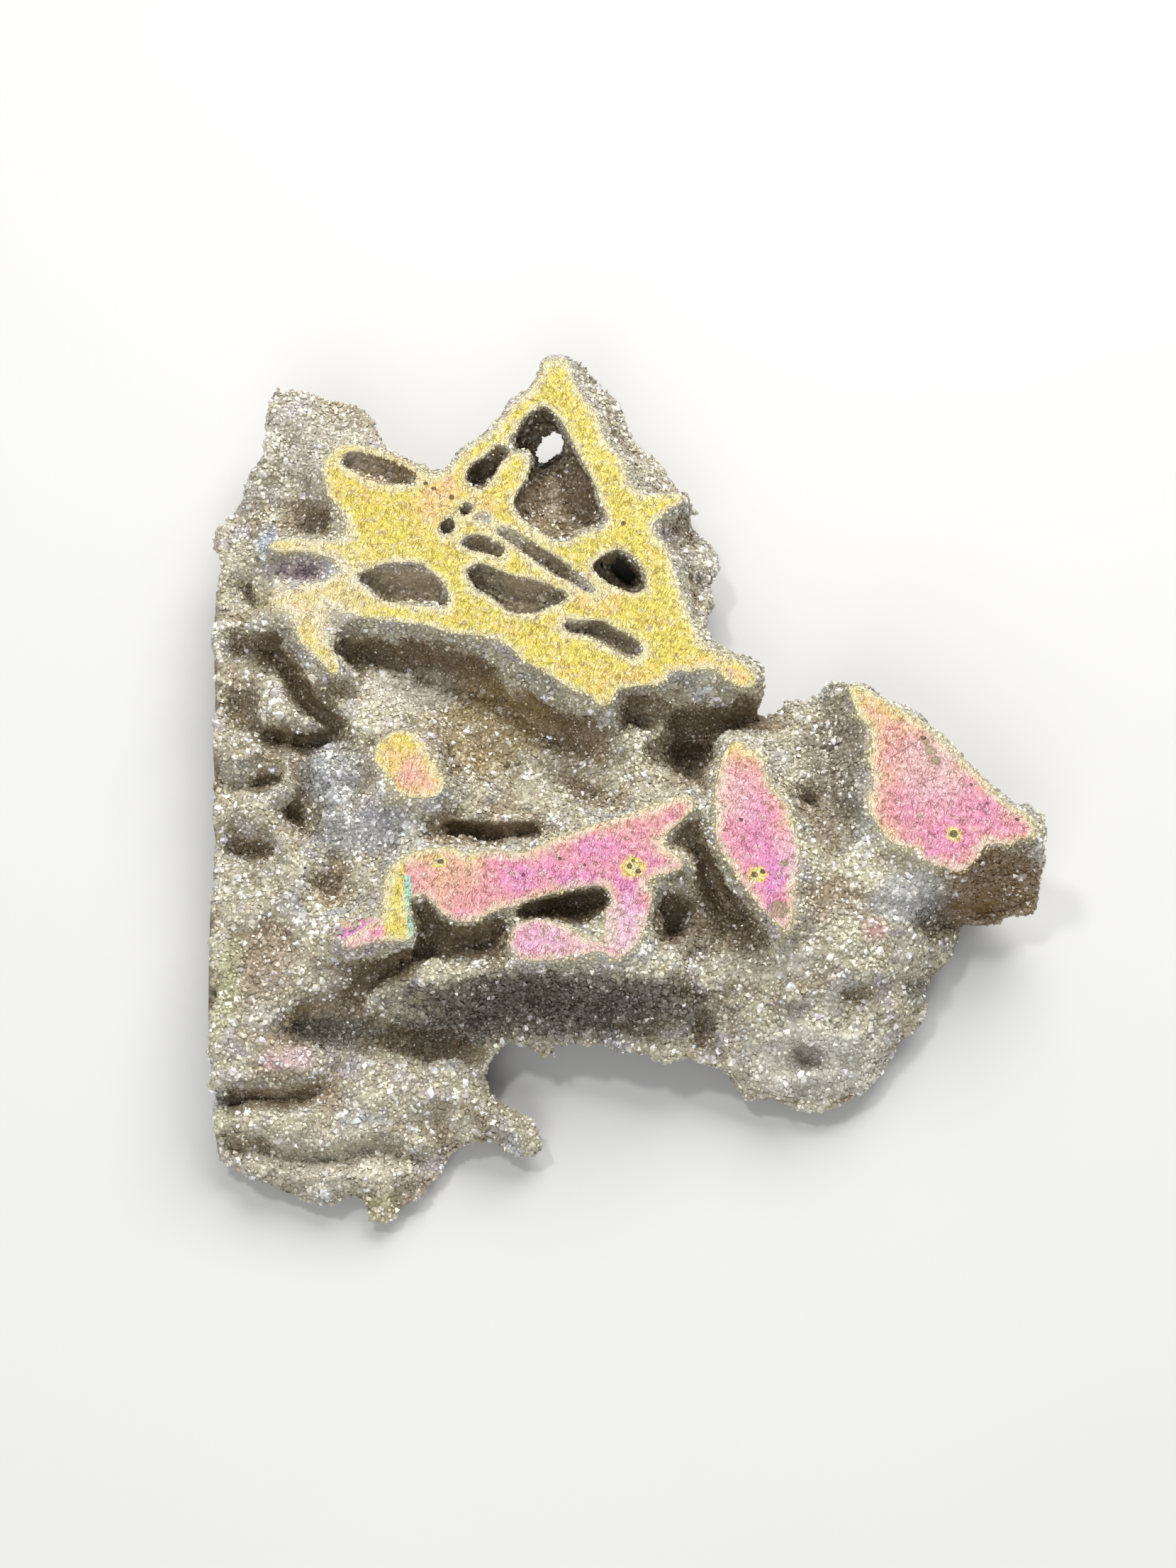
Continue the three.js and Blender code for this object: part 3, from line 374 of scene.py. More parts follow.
# %% [markdown]
# ## Steep pockets
# The CAD walls of the pockets slope gently, which keeps the solid simple. On the real slab they drop
# almost straight down. So each point inside a pocket's rim is pushed down its line of sight towards the
# lowest floor nearby. Then it stays at the same place in the camera's view, and the pocket opens up.

# %% Carve the pockets
EYE = np.array((CAMERA_AIM + towards_viewer * CAMERA_DISTANCE)) / MM
POCKET_WALL = 0.9  # how far from the rim a wall reaches its floor, in the view
FLOOR_REACH = 2.2  # how far to look for the floor
LOW_SHARE = 20  # the floor is as low as the lowest fifth of the points there
STEEP_DEPTH = 7.0  # below this the walls keep the CAD model's slope
WIDE_POCKET = 160.0  # square millimetres from which a pocket is wide enough to be well lit
POCKET_BOTTOM = 6.0  # only points above this height belong to the pockets
TURNED_AWAY = -0.15  # cosine from which a point belongs to a hidden flank behind the pocket


def smooth(values, low, high):
    """0 below low, 1 above high, smooth between; high may be the smaller one."""
    t = np.clip((values - low) / (high - low), 0, 1)
    return t * t * (3 - 2 * t)


def seen_at(places):
    """Where the line from the eye through each point meets the height of the sawn face."""
    share = (EYE[2] - FACE_Z) / (EYE[2] - places[:, 2])
    return EYE[:2] + (places[:, :2] - EYE[:2]) * share[:, None]


def facing_eye(places, directions):
    """Cosine between each point's normal and its line of sight: below 0, the point faces away."""
    sight = EYE - places
    return (sight * directions).sum(1) / np.linalg.norm(sight, axis=1)


def inside(spots, loop):
    """True for each spot inside a closed loop of points."""
    odd = np.zeros(len(spots), bool)
    for a, b in zip(loop, np.roll(loop, -1, 0)):
        crosses = (a[1] > spots[:, 1]) != (b[1] > spots[:, 1])
        rise = b[1] - a[1] if b[1] != a[1] else 1.0
        odd ^= crosses & (spots[:, 0] < a[0] + (spots[:, 1] - a[1]) / rise * (b[0] - a[0]))
    return odd


def loop_area(loop):
    return abs(sum(a[0] * b[1] - b[0] * a[1] for a, b in zip(loop, np.roll(loop, -1, 0)))) / 2


loops = [np.array(chain)[:, :2] for chain in chains]
net = max(loops, key=loop_area)
pockets = [loop for loop in loops if loop is not net and inside(loop[:1], net)[0]]
drawn = seen_at(points)
sunk = (points[:, 2] < FACE_Z - 0.1) & (points[:, 2] > POCKET_BOTTOM)
sunk = sunk & (facing_eye(points, read("normal")) > TURNED_AWAY)
in_pocket = sunk & np.any([inside(drawn, loop) for loop in pockets], axis=0)
rim_gap = np.array([rim_tree.find(Vector((*spot, FACE_Z)))[2] for spot in drawn[in_pocket]])

floor_tree = kdtree.KDTree(int(in_pocket.sum()))
for index, spot in enumerate(drawn[in_pocket]):
    floor_tree.insert((*spot, 0), index)
floor_tree.balance()
heights = points[in_pocket, 2]
floors = np.array([
    np.percentile([heights[found[1]] for found in floor_tree.find_range((*spot, 0), FLOOR_REACH)], LOW_SHARE)
    for spot in drawn[in_pocket]
])
floors = np.maximum(floors, FACE_Z - STEEP_DEPTH)
carved = np.minimum(heights, FACE_Z - (FACE_Z - floors) * smooth(rim_gap, 0.0, POCKET_WALL))
share = (EYE[2] - carved) / (EYE[2] - heights)
points[in_pocket] = EYE + (points[in_pocket] - EYE) * share[:, None]
skin.vertices.foreach_set("co", (points * MM).ravel())
skin.update()
normals = read("normal")
x, y, z = points.T
print(f"pockets: {len(pockets)}, carved by up to {(heights - carved).max():.1f} mm")

# %% [markdown]
# ## What each point knows
# Every point of the skin gets a few numbers: how deep it lies inside the sawn face or how far out in
# the crust, how sunken it is beside its surroundings, and how much room is in front of it. The shaders
# and the crystals read them by name.

# %% Measure the skin
SIDE_X, SIDE_LEAN, SIDE_END = -58.65, -0.0557, 27.0  # the sawn left side: x = SIDE_X + lean * y
SHELF = 0.14  # how far below the sawn face a point still belongs to it
ROOM_REACH = 8.0  # how far to look for an opposite wall
HOLLOW_REACH, CREASE_REACH = 6.0, 2.4  # surroundings with which a point's height is compared

on_face = (z > FACE_Z - SHELF) & (normals[:, 2] > 0.6)
on_underside = (z < 0.2) & (normals[:, 2] < -0.6)
on_side = (np.abs(x - SIDE_X - SIDE_LEAN * y) < 0.25) & (normals[:, 0] < -0.9) & (y < SIDE_END)
bare = on_underside | on_side

nearest = [rim_tree.find(Vector((*p[:2], FACE_Z)) if top else p) for p, top in zip(points, on_face)]
away = np.array([found[2] for found in nearest])
face_depth = np.where(on_face, away, -away)


def sunken(places, reach, cell=0.8):
    """How far each point lies below the mean height within reach."""
    steps = round(reach / cell)
    low = places.min(0)[:2] - (steps + 1) * cell
    column, row = ((places[:, :2] - low) / cell).astype(int).T
    heights = np.zeros((column.max() + steps + 2, row.max() + steps + 2))
    np.maximum.at(heights, (column, row), places[:, 2])
    mean = heights
    for axis in (0, 1):
        mean = sum(np.roll(mean, k, axis) for k in range(-steps, steps + 1)) / (2 * steps + 1)
    return mean[column, row] - places[:, 2]


recess, crease = sunken(points, HOLLOW_REACH), sunken(points, CREASE_REACH)

walls = bvhtree.BVHTree.FromPolygons(
    [tuple(p) for p in points], [tuple(f.vertices) for f in skin.polygons]
)
hits = [walls.ray_cast(p + 0.3 * n, n, ROOM_REACH) for p, n in zip(points, normals)]
room = np.array([ROOM_REACH if hit[3] is None else hit[3] for hit in hits])
enclosed = smooth(room, 6.0, 2.5) * (z < FACE_Z - 0.5)
enclosed[in_pocket] = np.maximum(enclosed[in_pocket], smooth(rim_gap, 0.1, 0.7))

print(f"sawn face: {on_face.mean():.0%} of the points, deepest {face_depth.max():.1f} mm from the rim")

# %% [markdown]
# ## Small lumps
# The crust is never even. Noise of three sizes and rounded lobes push its points in and out, creases are
# cut a little deeper, and the crust is drawn in to leave room for the crystals that will stand on it. The
# sawn faces stay flat.

# %% Shape the crust
CRYSTAL_ROOM = 0.22  # how far the crust is drawn in below the crystals' tips
CREASE_CUT = 0.5  # share by which small hollows are deepened and small swells raised
LUMPS = ((8.5, 1.0), (3.6, 0.3), (1.7, 0.2))  # size and height of each kind
LOBES = ((8.0, 0.9),)
LOBE_CREVICE = 0.6  # share of a lobe's size in which its side falls to the crevice


def bumps(size, height, shift):
    return height * np.array([noise.noise(Vector(p / size) + shift) for p in points])


def lobes(size, height):
    """Rounded swells with a crevice between one and the next."""
    near, next_near = np.array([noise.voronoi(Vector(p / size))[0][:2] for p in points]).T
    return height * (smooth(next_near - near, 0.0, LOBE_CREVICE) - 0.6)


grain = bumps(0.9, 1.0, Vector((9, 2, 5)))
swells = [bumps(size, height, Vector((size, 0, 0))) for size, height in LUMPS]
swells += [lobes(size, height) for size, height in LOBES]
swell = sum(swells) * smooth(away, 0.0, 3.0) * smooth(room, 1.0, 5.0)
loose = smooth(away, 0.0, 0.9) * ~on_face * ~bare
moved = points + normals * (loose * (swell - CRYSTAL_ROOM))[:, None]
facing_up = np.clip(normals[:, 2], 0, 1)
moved[:, 2] -= CREASE_CUT * np.clip(crease, -1.2, 2.0) * loose * facing_up * smooth(room, 2.0, 5.0)
moved[:, 2] = np.where(on_face, FACE_Z - 0.04 * np.abs(grain), moved[:, 2])
moved[:, 2] = np.clip(moved[:, 2], 0, FACE_Z)
skin.vertices.foreach_set("co", (moved * MM).ravel())
recess, crease = sunken(moved, HOLLOW_REACH), sunken(moved, CREASE_REACH)
print(f"crust: pushed in by up to {-(loose * (swell - CRYSTAL_ROOM)).min():.1f} mm")

# %% [markdown]
# ## The coloured film
# A film shows one colour after another as it grows thicker: cream, yellow, gold, orange, pink, magenta.
# So one number per point is enough. It is thin at the rim of every wall and thicker at its core, and
# the whole slab was coated unevenly, thicker towards the front. A few swells of the crust reached the
# coating too.

# %% Work out the film
outline = seen_at(points).T

FILM_BY_Y = ((-40, 1.0), (-28, 0.97), (-19, 0.90), (-9, 0.82), (-4, 0.75), (1, 0.66), (6, 0.56),
             (12, 0.42), (66, 0.40))  # place along y, film at a wall's core
FILM_RISE = 1.0  # distance from the rim in which most of the film builds up
RIM_SHARE = 0.55  # film at the rim, beside the core's
YELLOW_STRIP = ((-31.4, -21.8), (-29.8, -32.8), 1.7)  # from, to, half width
STRIP_FILM = 0.34
SPILL, SPILL_REACH = 0.55, 0.9  # film on the crust at the rim, beside the core's, and how fast it fades
COATED_SWELLS = (
    # x, y, radius along x, radius along y, film
    (-35.0, -31.8, 3.8, 3.0, 0.98), (-49.0, 21.0, 4.5, 2.6, 0.2), (-46.5, 30.0, 5.5, 1.5, 0.25),
    (-44.5, 18.0, 3.5, 2.6, 0.22),
)
THICKER = (
    # x, y, reach, extra film
    (-26.0, -7.0, 6.0, 0.15), (9.0, 32.0, 7.0, 0.09), (-24.0, 37.0, 8.0, 0.08), (-2.0, 22.0, 5.0, 0.07),
)


def beside(start, end):
    """Distance of each point from a straight line on the sawn face."""
    start, end = np.array(start), np.array(end)
    span = end - start
    share = np.clip(((points[:, :2] - start) @ span) / (span @ span), 0, 1)
    return np.linalg.norm(points[:, :2] - start - share[:, None] * span, axis=1)


in_view = smooth(facing_eye(points, normals), -0.25, 0.05)


def blob(middle_x, middle_y, radius_x, radius_y):
    """1 inside an oval in the outline view, 0 outside and out of view, with an uneven edge."""
    reach = np.hypot((outline[0] - middle_x) / radius_x, (outline[1] - middle_y) / radius_y) + 0.4 * grain
    return smooth(reach, 1.3, 0.6) * in_view


core_film = np.interp(y, *zip(*FILM_BY_Y))
core_film -= 0.22 * smooth(x, -13, -20) * smooth(y, -31, -27) * (y < 0)  # the long wall's left end
core_film += 0.05 * smooth(x, -18, -32) * smooth(y, 28, 40)  # the back left of the net
core_film += 0.08 * smooth(x, 8, 15) * smooth(y, 17, 10) * (y > 6) * (x < 30)  # its right tip
for middle_x, middle_y, reach, extra in THICKER:
    core_film += extra * smooth(np.hypot(x - middle_x, y - middle_y), reach, reach / 2)
strip = smooth(beside(*YELLOW_STRIP[:2]), YELLOW_STRIP[2] + 0.4, YELLOW_STRIP[2] - 0.2)
core_film = core_film * (1 - strip) + STRIP_FILM * strip
rise_here = FILM_RISE * (1 + bumps(3.0, 1.3, Vector((4, 4, 4))))
risen = 1 - np.exp(-np.maximum(face_depth + 0.1, 0) / np.maximum(rise_here, 0.25))
film = (RIM_SHARE + (1 - RIM_SHARE) * risen) * (core_film + bumps(6.0, 0.09, Vector()))
beyond = SPILL * np.exp(-away / SPILL_REACH) * core_film * ~bare
film = np.where(on_face, film, beyond)
coated = np.zeros(count)
for *oval, thickness in COATED_SWELLS:
    share = blob(*oval) * (normals[:, 2] > 0.3) * ~on_face
    coated = np.maximum(coated, share)
    film = film * (1 - share) + thickness * share

# %% [markdown]
# Two more numbers come from where a point is. In places the film is worn down to a pale tint. And the
# pockets are told from the open crust, most of all the narrow ones, where little light comes down, so
# that painted light can brighten them. Then the skin keeps every number under its name.

# %% Keep what each point knows
WORN = (
    # x, y, radius along x, radius along y; then the share of the film that is gone
    ((0.8, -30.5, 2.6, 4.0), 0.55), ((-9.0, -32.5, 4.5, 2.4), 0.4), ((44.5, -7.0, 5.0, 5.5), 0.35),
    ((16.5, -11.0, 4.0, 4.0), 0.3), ((-44.0, 23.0, 9.0, 9.0), 0.3), ((24.0, -20.0, 2.0, 4.0), 0.35),
)

worn = np.zeros(count)
for oval, share in WORN:
    worn = np.maximum(worn, blob(*oval) * share)
# painted light: how much each point in a pocket is brightened, most in narrow, deep pockets
pocket = np.zeros(count)
for loop in pockets:
    pocket[in_pocket & inside(drawn, loop)] = smooth(loop_area(loop), WIDE_POCKET, WIDE_POCKET / 2)
pocket[in_pocket] *= smooth(rim_gap, 0.1, 0.6) * smooth(FACE_Z - carved, 0.5, 5.0)

measured = {
    "face_depth": face_depth, "swell": swell, "recess": recess, "crease": crease, "enclosed": enclosed,
    "pocket": pocket, "film": film, "worn": worn, "coated": coated, "bare": bare.astype(float),
}


def keep(name, values, kind="FLOAT"):
    field = "value" if kind == "FLOAT" else "color"
    skin.attributes.new(name, kind, "POINT").data.foreach_set(field, values.astype(np.float32).ravel())


for name, values in measured.items():
    keep(name, values)
print(f"film: {film[on_face].min():.2f} to {film[on_face].max():.2f}")

# %% [markdown]
# ## Stains, painted light and painted shade
# The quartz isn't one colour. Parts of the crust are stained brown by iron, others are clear, milky or
# bluish. A few ovals are painted light and shade instead: pale ones lift crust that lies in shade, and
# dark brown ones lay shade in the undercut along the front. All of them are ovals, placed on the drawing
# of the slab as it is seen from the camera.


# %% Place the stains and the painted light and shade
def srgb(red, green, blue):
    """A screen colour, 0 to 255, as the linear colour that shaders use."""
    parts = [c / 255 for c in (red, green, blue)]
    return (*[c / 12.92 if c <= 0.04045 else ((c + 0.055) / 1.055) ** 2.4 for c in parts], 1.0)


STONE = 0.69  # the light is strong and the stone darker than it looks, so that its white facets, painted as glints, stand out
FILM = 0.85  # the metal film throws back more of it


def stone(red, green, blue, share=STONE):
    """A colour of the stone as it looks on screen under this light."""
    return (*[c * share for c in srgb(red, green, blue)[:3]], 1.0)


def coating(red, green, blue):
    """A colour of the film as it looks on screen under this light."""
    return stone(red, green, blue, FILM)


STAINS_AND_PAINTED_LIGHT = (
    # x, y, radius along x, radius along y, colour, strength
    ((-19.0, 0.5, 9.0, 8.0), (172, 146, 84), 0.75),
    ((-52.0, 31.5, 1.8, 2.8), (176, 190, 216), 0.8),
    ((-40.5, -7.5, 4.0, 5.5), (172, 182, 196), 0.6),
    ((-35.0, -16.0, 7.5, 3.8), (176, 184, 196), 0.6),
    ((-47.5, -36.0, 4.2, 6.0), (164, 140, 110), 0.6),
    ((35.5, -31.0, 1.8, 1.8), (236, 176, 176), 0.6),
    ((8.2, -31.4, 1.5, 1.5), (120, 66, 44), 0.8),
    ((-53.0, -40.0, 1.8, 7.0), (206, 210, 156), 0.7),
    ((-47.4, 26.4, 5.0, 2.0), (186, 160, 190), 0.5),
    ((-43.8, -49.8, 4.4, 2.0), (236, 200, 208), 0.6),
    ((-35.5, 44.0, 6.5, 3.2), (164, 134, 88), 0.95),
    ((52.5, -24.5, 8.5, 6.5), (142, 108, 58), 1.0),
    ((40.0, -43.5, 2.6, 6.5), (222, 212, 182), 0.8),
    ((36.0, -50.0, 3.5, 3.0), (206, 190, 158), 0.7),
    ((40.8, -40.7, 1.6, 2.6), (96, 96, 90), 0.6),
    ((-30.5, -70.0, 2.5, 2.5), (214, 198, 146), 0.7),
    ((-46.0, 48.0, 9.0, 7.0), (216, 208, 192), 0.6),
    ((20.0, 33.0, 6.0, 14.0), (216, 218, 224), 0.7),
    # painted shade: this dark brown oval darkens the undercut along the front
    ((-8.0, -42.0, 21.0, 4.5), (74, 61, 44), 0.95),
    ((-46.0, -46.5, 5.5, 1.6), (176, 150, 112), 0.6),
    # painted light: this pale oval lifts a lobe that slopes to the front, into shade
    ((27.0, -51.0, 11.0, 6.0), (240, 235, 220), 0.75),
    # pale crust, lifted further as painted light where the wall behind it shades the floor
    ((-30.0, 6.0, 7.0, 3.2), (244, 236, 216), 0.85),
    ((-38.0, -64.0, 10.0, 4.0), (238, 230, 208), 0.7),
    ((31.0, -6.0, 5.0, 10.0), (138, 126, 106), 0.8),
    ((40.5, -26.5, 5.0, 4.0), (212, 216, 220), 0.7),
    ((22.0, -36.0, 7.0, 3.0), (216, 210, 190), 0.6),
    ((11.0, -30.0, 3.5, 6.5), (128, 110, 84), 0.7),
    # painted shade: these three dark ovals darken the hollows under the lobes along the front
    ((-38.5, -45.8, 6.5, 2.4), (92, 86, 76), 0.85),
    ((-22.0, -45.5, 8.5, 2.8), (88, 78, 62), 0.85),
    ((-4.0, -43.0, 22.0, 5.0), (82, 72, 56), 0.6),
)
stain = np.zeros((count, 4))
for oval, colour, strength in STAINS_AND_PAINTED_LIGHT:
    share = (blob(*oval) * strength)[:, None]
    stain[:, :3] = stain[:, :3] * (1 - share) + np.array(stone(*colour)[:3]) * share
    stain[:, 3:] = stain[:, 3:] * (1 - share) + share
stain[:, :3] /= np.maximum(stain[:, 3:], 1e-6)
keep("stain", stain[:, :3] @ np.eye(3, 4) + [0, 0, 0, 1], "FLOAT_COLOR")
keep("stained", stain[:, 3])
keep("dull", stain[:, 3] * smooth(stain[:, :3].mean(1), 0.2, 0.05))
print(f"stained points: {(stain[:, 3] > 0.3).mean():.0%}")

# %% [markdown]
# ## The finish of the skin
# One material covers the skin. Its mask is the distance from the rim: on the sawn face it shows the
# film, crossed by fine, wavy growth marks, and elsewhere a dull crust, pale where it is open and brown
# in the hollows, partly the stone's own brown and partly painted shade. The marks are the places where
# a stretched noise passes through its middle value. The saw opened small pits in the walls, each painted
# dark as painted shade, and the film is thinner round each one. The uncoated saw cuts show banded
# grey-brown quartz.

# %% Choose the film's colours and what breaks it
FILM_COLOURS = (
    (0.00, coating(220, 212, 186)),
    (0.12, coating(236, 226, 172)),
    (0.28, coating(236, 222, 134)),
    (0.40, coating(226, 210, 92)),
    (0.50, coating(236, 206, 124)),
    (0.60, coating(240, 196, 158)),
    (0.72, coating(234, 172, 164)),
    (0.86, coating(234, 156, 182)),
    (1.00, coating(228, 143, 204)),
)
TEAL_LINE = ((-29.1, -23.0), (-28.0, -32.4), 0.45)  # from, to, half width
SCRATCHES = (
    # from, to, half width
    ((38.0, -5.4), (44.0, -1.4), 0.09),
    ((41.5, -9.5), (46.0, -7.6), 0.07),
    ((16.0, -19.5), (19.0, -17.6), 0.07),
)
PITS = (
    # x, y, radius
    (47.0, -16.7, 0.5), (-24.5, -20.9, 0.4), (1.7, -21.6, 0.4), (2.9, -22.4, 0.35), (2.2, -20.8, 0.25),
    (19.0, -22.9, 0.45), (20.2, -22.5, 0.35), (-24.5, 39.0, 0.45), (-28.5, 41.4, 0.35), (-27.2, 40.5, 0.4),
    (1.2, 34.3, 0.35), (43.7, -1.6, 0.35), (56.0, -14.5, 0.3), (52.0, -12.0, 0.28), (50.0, -9.0, 0.22),
    (-8.0, -20.5, 0.25), (-4.5, -21.5, 0.2), (8.0, -18.6, 0.22), (-13.0, -23.0, 0.25), (17.4, -14.5, 0.25),
)
WINDOWS = (
    # x, y, radius of the spots where bare quartz shows
    (22.2, -28.2, 1.35), (23.2, -21.2, 0.6), (45.3, -5.2, 0.7), (44.6, -3.6, 0.8), (44.0, -2.4, 0.6),
)
RINGS = (
    # x, y, radius of the thin film round a pit
    (47.0, -16.7, 1.25), (-24.5, -20.9, 1.1), (2.2, -21.8, 1.7), (19.4, -22.8, 1.4),
)

# %% [markdown]
# The quartz is coloured by one function, for the skin and for the crystals that stand on it. It mixes a
# pale open stone, in several hues, with the brown of the hollows, partly the stone's own and partly
# painted shade. It lays the stains and the ovals of painted light and shade over both, and paints the
# pockets paler, as painted light.

# %% Colour the quartz
# painted shade: the deep colour is the stone's own warm brown, darkened further for the shade in hollows
CRUST_OPEN, CRUST_DEEP_AND_SHADED = stone(198, 190, 172), stone(166, 146, 114)
# painted shade: the darkest brown, laid in the deepest creases
CREVICE_SHADE = stone(120, 98, 70)
POCKET_PAINTED_LIGHT = stone(214, 200, 172, 1.0)  # painted light: pale, to make up for the little light that comes down into a pocket
HUES = ((0.30, stone(180, 192, 210)), (0.41, stone(206, 200, 188)), (0.48, stone(216, 210, 170)),
        (0.56, stone(206, 194, 160)), (0.66, stone(208, 196, 208)))


def quartz_colour(paint, place, open_colour, deep_and_shaded_colour):
    """The crust's colour, with painted shade in the hollows and painted light in the pockets, and how far
    a point lies in a hollow, 0 to 1.
    """
    hollow = paint.attribute("recess").rise(-1.0, 5.5)
    hollow = hollow.math("MAXIMUM", paint.attribute("crease").rise(0.4, 2.6) * 0.9)
    hollow = hollow.math("MAXIMUM", (0 - paint.attribute("swell")).rise(0.0, 1.2) * 0.5)
    hollow = hollow.math("MAXIMUM", paint.attribute("enclosed") * 0.4)
    hues = paint.ramp(paint.noise(place, 0.13, detail=3.5, distortion=0.6), HUES)
    colour = paint.blend(0.6, open_colour, hues)
    # painted shade: hollows, creases, sunken swells and narrow spaces turn brown, partly the stone's own
    # colour
    colour = paint.blend(hollow.rise(0.0, 0.6), colour, deep_and_shaded_colour)
    colour = paint.blend(hollow.rise(0.6, 1.0) * 0.6, colour, CREVICE_SHADE)
    stained = paint.blend(paint.attribute("stained"), colour, paint.attribute("stain", "Color"))
    # painted light: the pockets are painted paler, standing in for the light they lack
    return paint.blend(paint.attribute("pocket") * 0.7, stained, POCKET_PAINTED_LIGHT), hollow


# %% [markdown]
# Lines and round spots need no picture: a mask can ask how far a place is from a straight line or from
# the nearest of a few middles.


# %% Measure from lines and spots
def axis(paint, place, number):
    """One coordinate of a place: 0 for x, 1 for y."""
    return paint.node("ShaderNodeSeparateXYZ", {}, {0: place}, output=number)


def line_mask(paint, place, start, end, half_width):
    """1 on a straight line across the sawn face, 0 beside it."""
    span = Vector((end[0] - start[0], end[1] - start[1], 0))
    onward, sideways = span.normalized(), Vector((-span.y, span.x, 0)).normalized()
    from_start = paint.vector("SUBTRACT", place, (*start, 0))
    across = paint.vector("DOT_PRODUCT", from_start, sideways)
    ahead = paint.vector("DOT_PRODUCT", from_start, onward)
    near = 1 - across.math("ABSOLUTE").rise(half_width * 0.7, half_width * 1.3)
    return near * ahead.rise(-0.3, 0.3) * (1 - ahead.rise(span.length - 0.3, span.length + 0.3))


def nearest_spot(paint, place, spots):
    """Distance to the nearest spot's middle, in radii of that spot."""
    closest = None
    for spot_x, spot_y, radius in spots:
        here = paint.vector("DISTANCE", place, (spot_x, spot_y, FACE_Z)) / radius
        closest = here if closest is None else closest.math("MINIMUM", here)
    return closest


# %% [markdown]
# The film is mixed in layers: first its colours by thickness, then the pale fringe and the worn places,
# and last the marks, scratches and pits that break it.

# %% Colour the film
MARK = (0.008, 0.055)  # distance from the noise's middle value, at a mark's core and at its edge


def growth_marks(paint, place):
    """Thin, wavy lines, broken here and there, and the height of the ridges between them."""
    across, up = axis(paint, place, 0), axis(paint, place, 1)
    warp = (paint.noise(place, 0.8, detail=2) - 0.5) * 2.4
    marks_at = paint.combine(across * 1.9 + warp, up * 0.85 + warp * 0.7, 0.0)
    marks = paint.noise(marks_at, 1.0, detail=2.5, roughness=0.55)
    ridge = (marks - 0.5).math("ABSOLUTE")
    broken = paint.noise(place, 1.2, detail=2).rise(0.44, 0.58)
    return (1 - ridge.rise(*MARK)) * broken, ridge


def film_colour(paint, place, uneven, patch):
    """The film on the walls: cream in an uneven fringe, thinner round some pits, gone where it is worn."""
    fringe_reach = paint.noise(place, 0.4, detail=2) * 2.6
    fringe = 1 - (paint.attribute("face_depth") + uneven * 2.0 - fringe_reach).rise(-0.9, 0.2)
    shift = (paint.noise(place, 0.35) - 0.5) * 0.16 + (patch - 0.5) * 0.16
    rings = 1 - (nearest_spot(paint, place, RINGS) + uneven * 1.6).rise(0.5, 1.25)
    coat = paint.ramp((paint.attribute("film") + shift) * (1 - rings * 0.76), FILM_COLOURS)
    coat = paint.blend(fringe * 0.6 * (1 - paint.attribute("coated")), coat, coating(232, 224, 200))
    coat = paint.blend(patch.rise(0.5, 0.66) * 0.5, coat, coating(255, 248, 226))
    coat = paint.blend(paint.attribute("worn"), coat, coating(238, 222, 224))
    teal = line_mask(paint, place, *TEAL_LINE) * patch.rise(0.2, 0.6)
    return paint.blend(teal, coat, coating(168, 226, 206))


def marked(paint, place, coat, lines, windows, pits):
    """The film with what breaks it: growth marks, scratches, windows, pits, specks and streaks."""
    coat = paint.blend(lines * 0.85, coat, srgb(140, 112, 70), "MULTIPLY")
    for scratch in SCRATCHES:
        coat = paint.blend(line_mask(paint, place, *scratch) * 0.5, coat, stone(120, 70, 70))
    coat = paint.blend(windows * 0.8, coat, stone(176, 162, 124))
    across, up = axis(paint, place, 0), axis(paint, place, 1)
    streaks = paint.noise(paint.combine((across - up) * 0.22, (across + up) * 1.1, 0.0), 1.0, detail=3)
    streaks = streaks.rise(0.57, 0.64) * across.rise(30, 33) * 0.6
    specks = paint.noise(place, 0.9, detail=3, roughness=0.75).rise(0.61, 0.65).math("MAXIMUM", streaks)
    # painted shade: each pit is painted dark brown, for the shade inside it that the shallow bump can't give
    coat = paint.blend(pits * 0.85, coat, stone(84, 60, 40))
    return paint.blend(specks * 0.5, coat, srgb(156, 130, 78), "MULTIPLY")


# %% [markdown]
# At last the three finishes are mixed: the film on the sawn face, the crust around it, and the bare saw
# cuts. A bump gives the film its ridges and the crust its small tilted facets.

# %% Mix the skin's material
BANDS = ((0.0, stone(176, 164, 142)), (0.5, stone(142, 128, 106)), (1.0, stone(190, 180, 160)))


def crust_colour(paint, place, sawn, tone):
    """The ground between the crystals, with painted highlights on some facets of its own."""
    crust, hollow = quartz_colour(paint, place, CRUST_OPEN, CRUST_DEEP_AND_SHADED)
    # painted highlights: random facets of the skin turn near-white, fewer in the hollows, standing in for
    # glints
    flash = tone.rise(0.70, 0.72) * (1 - sawn) * (1 - paint.attribute("bare"))
    return paint.blend(flash * (0.6 - hollow * 0.45), crust, stone(246, 243, 232))


def banded_quartz(paint, place):
    bands = paint.noise(place, 0.11, detail=5, distortion=1.8)
    return paint.ramp((bands * 6).math("FRACT"), BANDS)


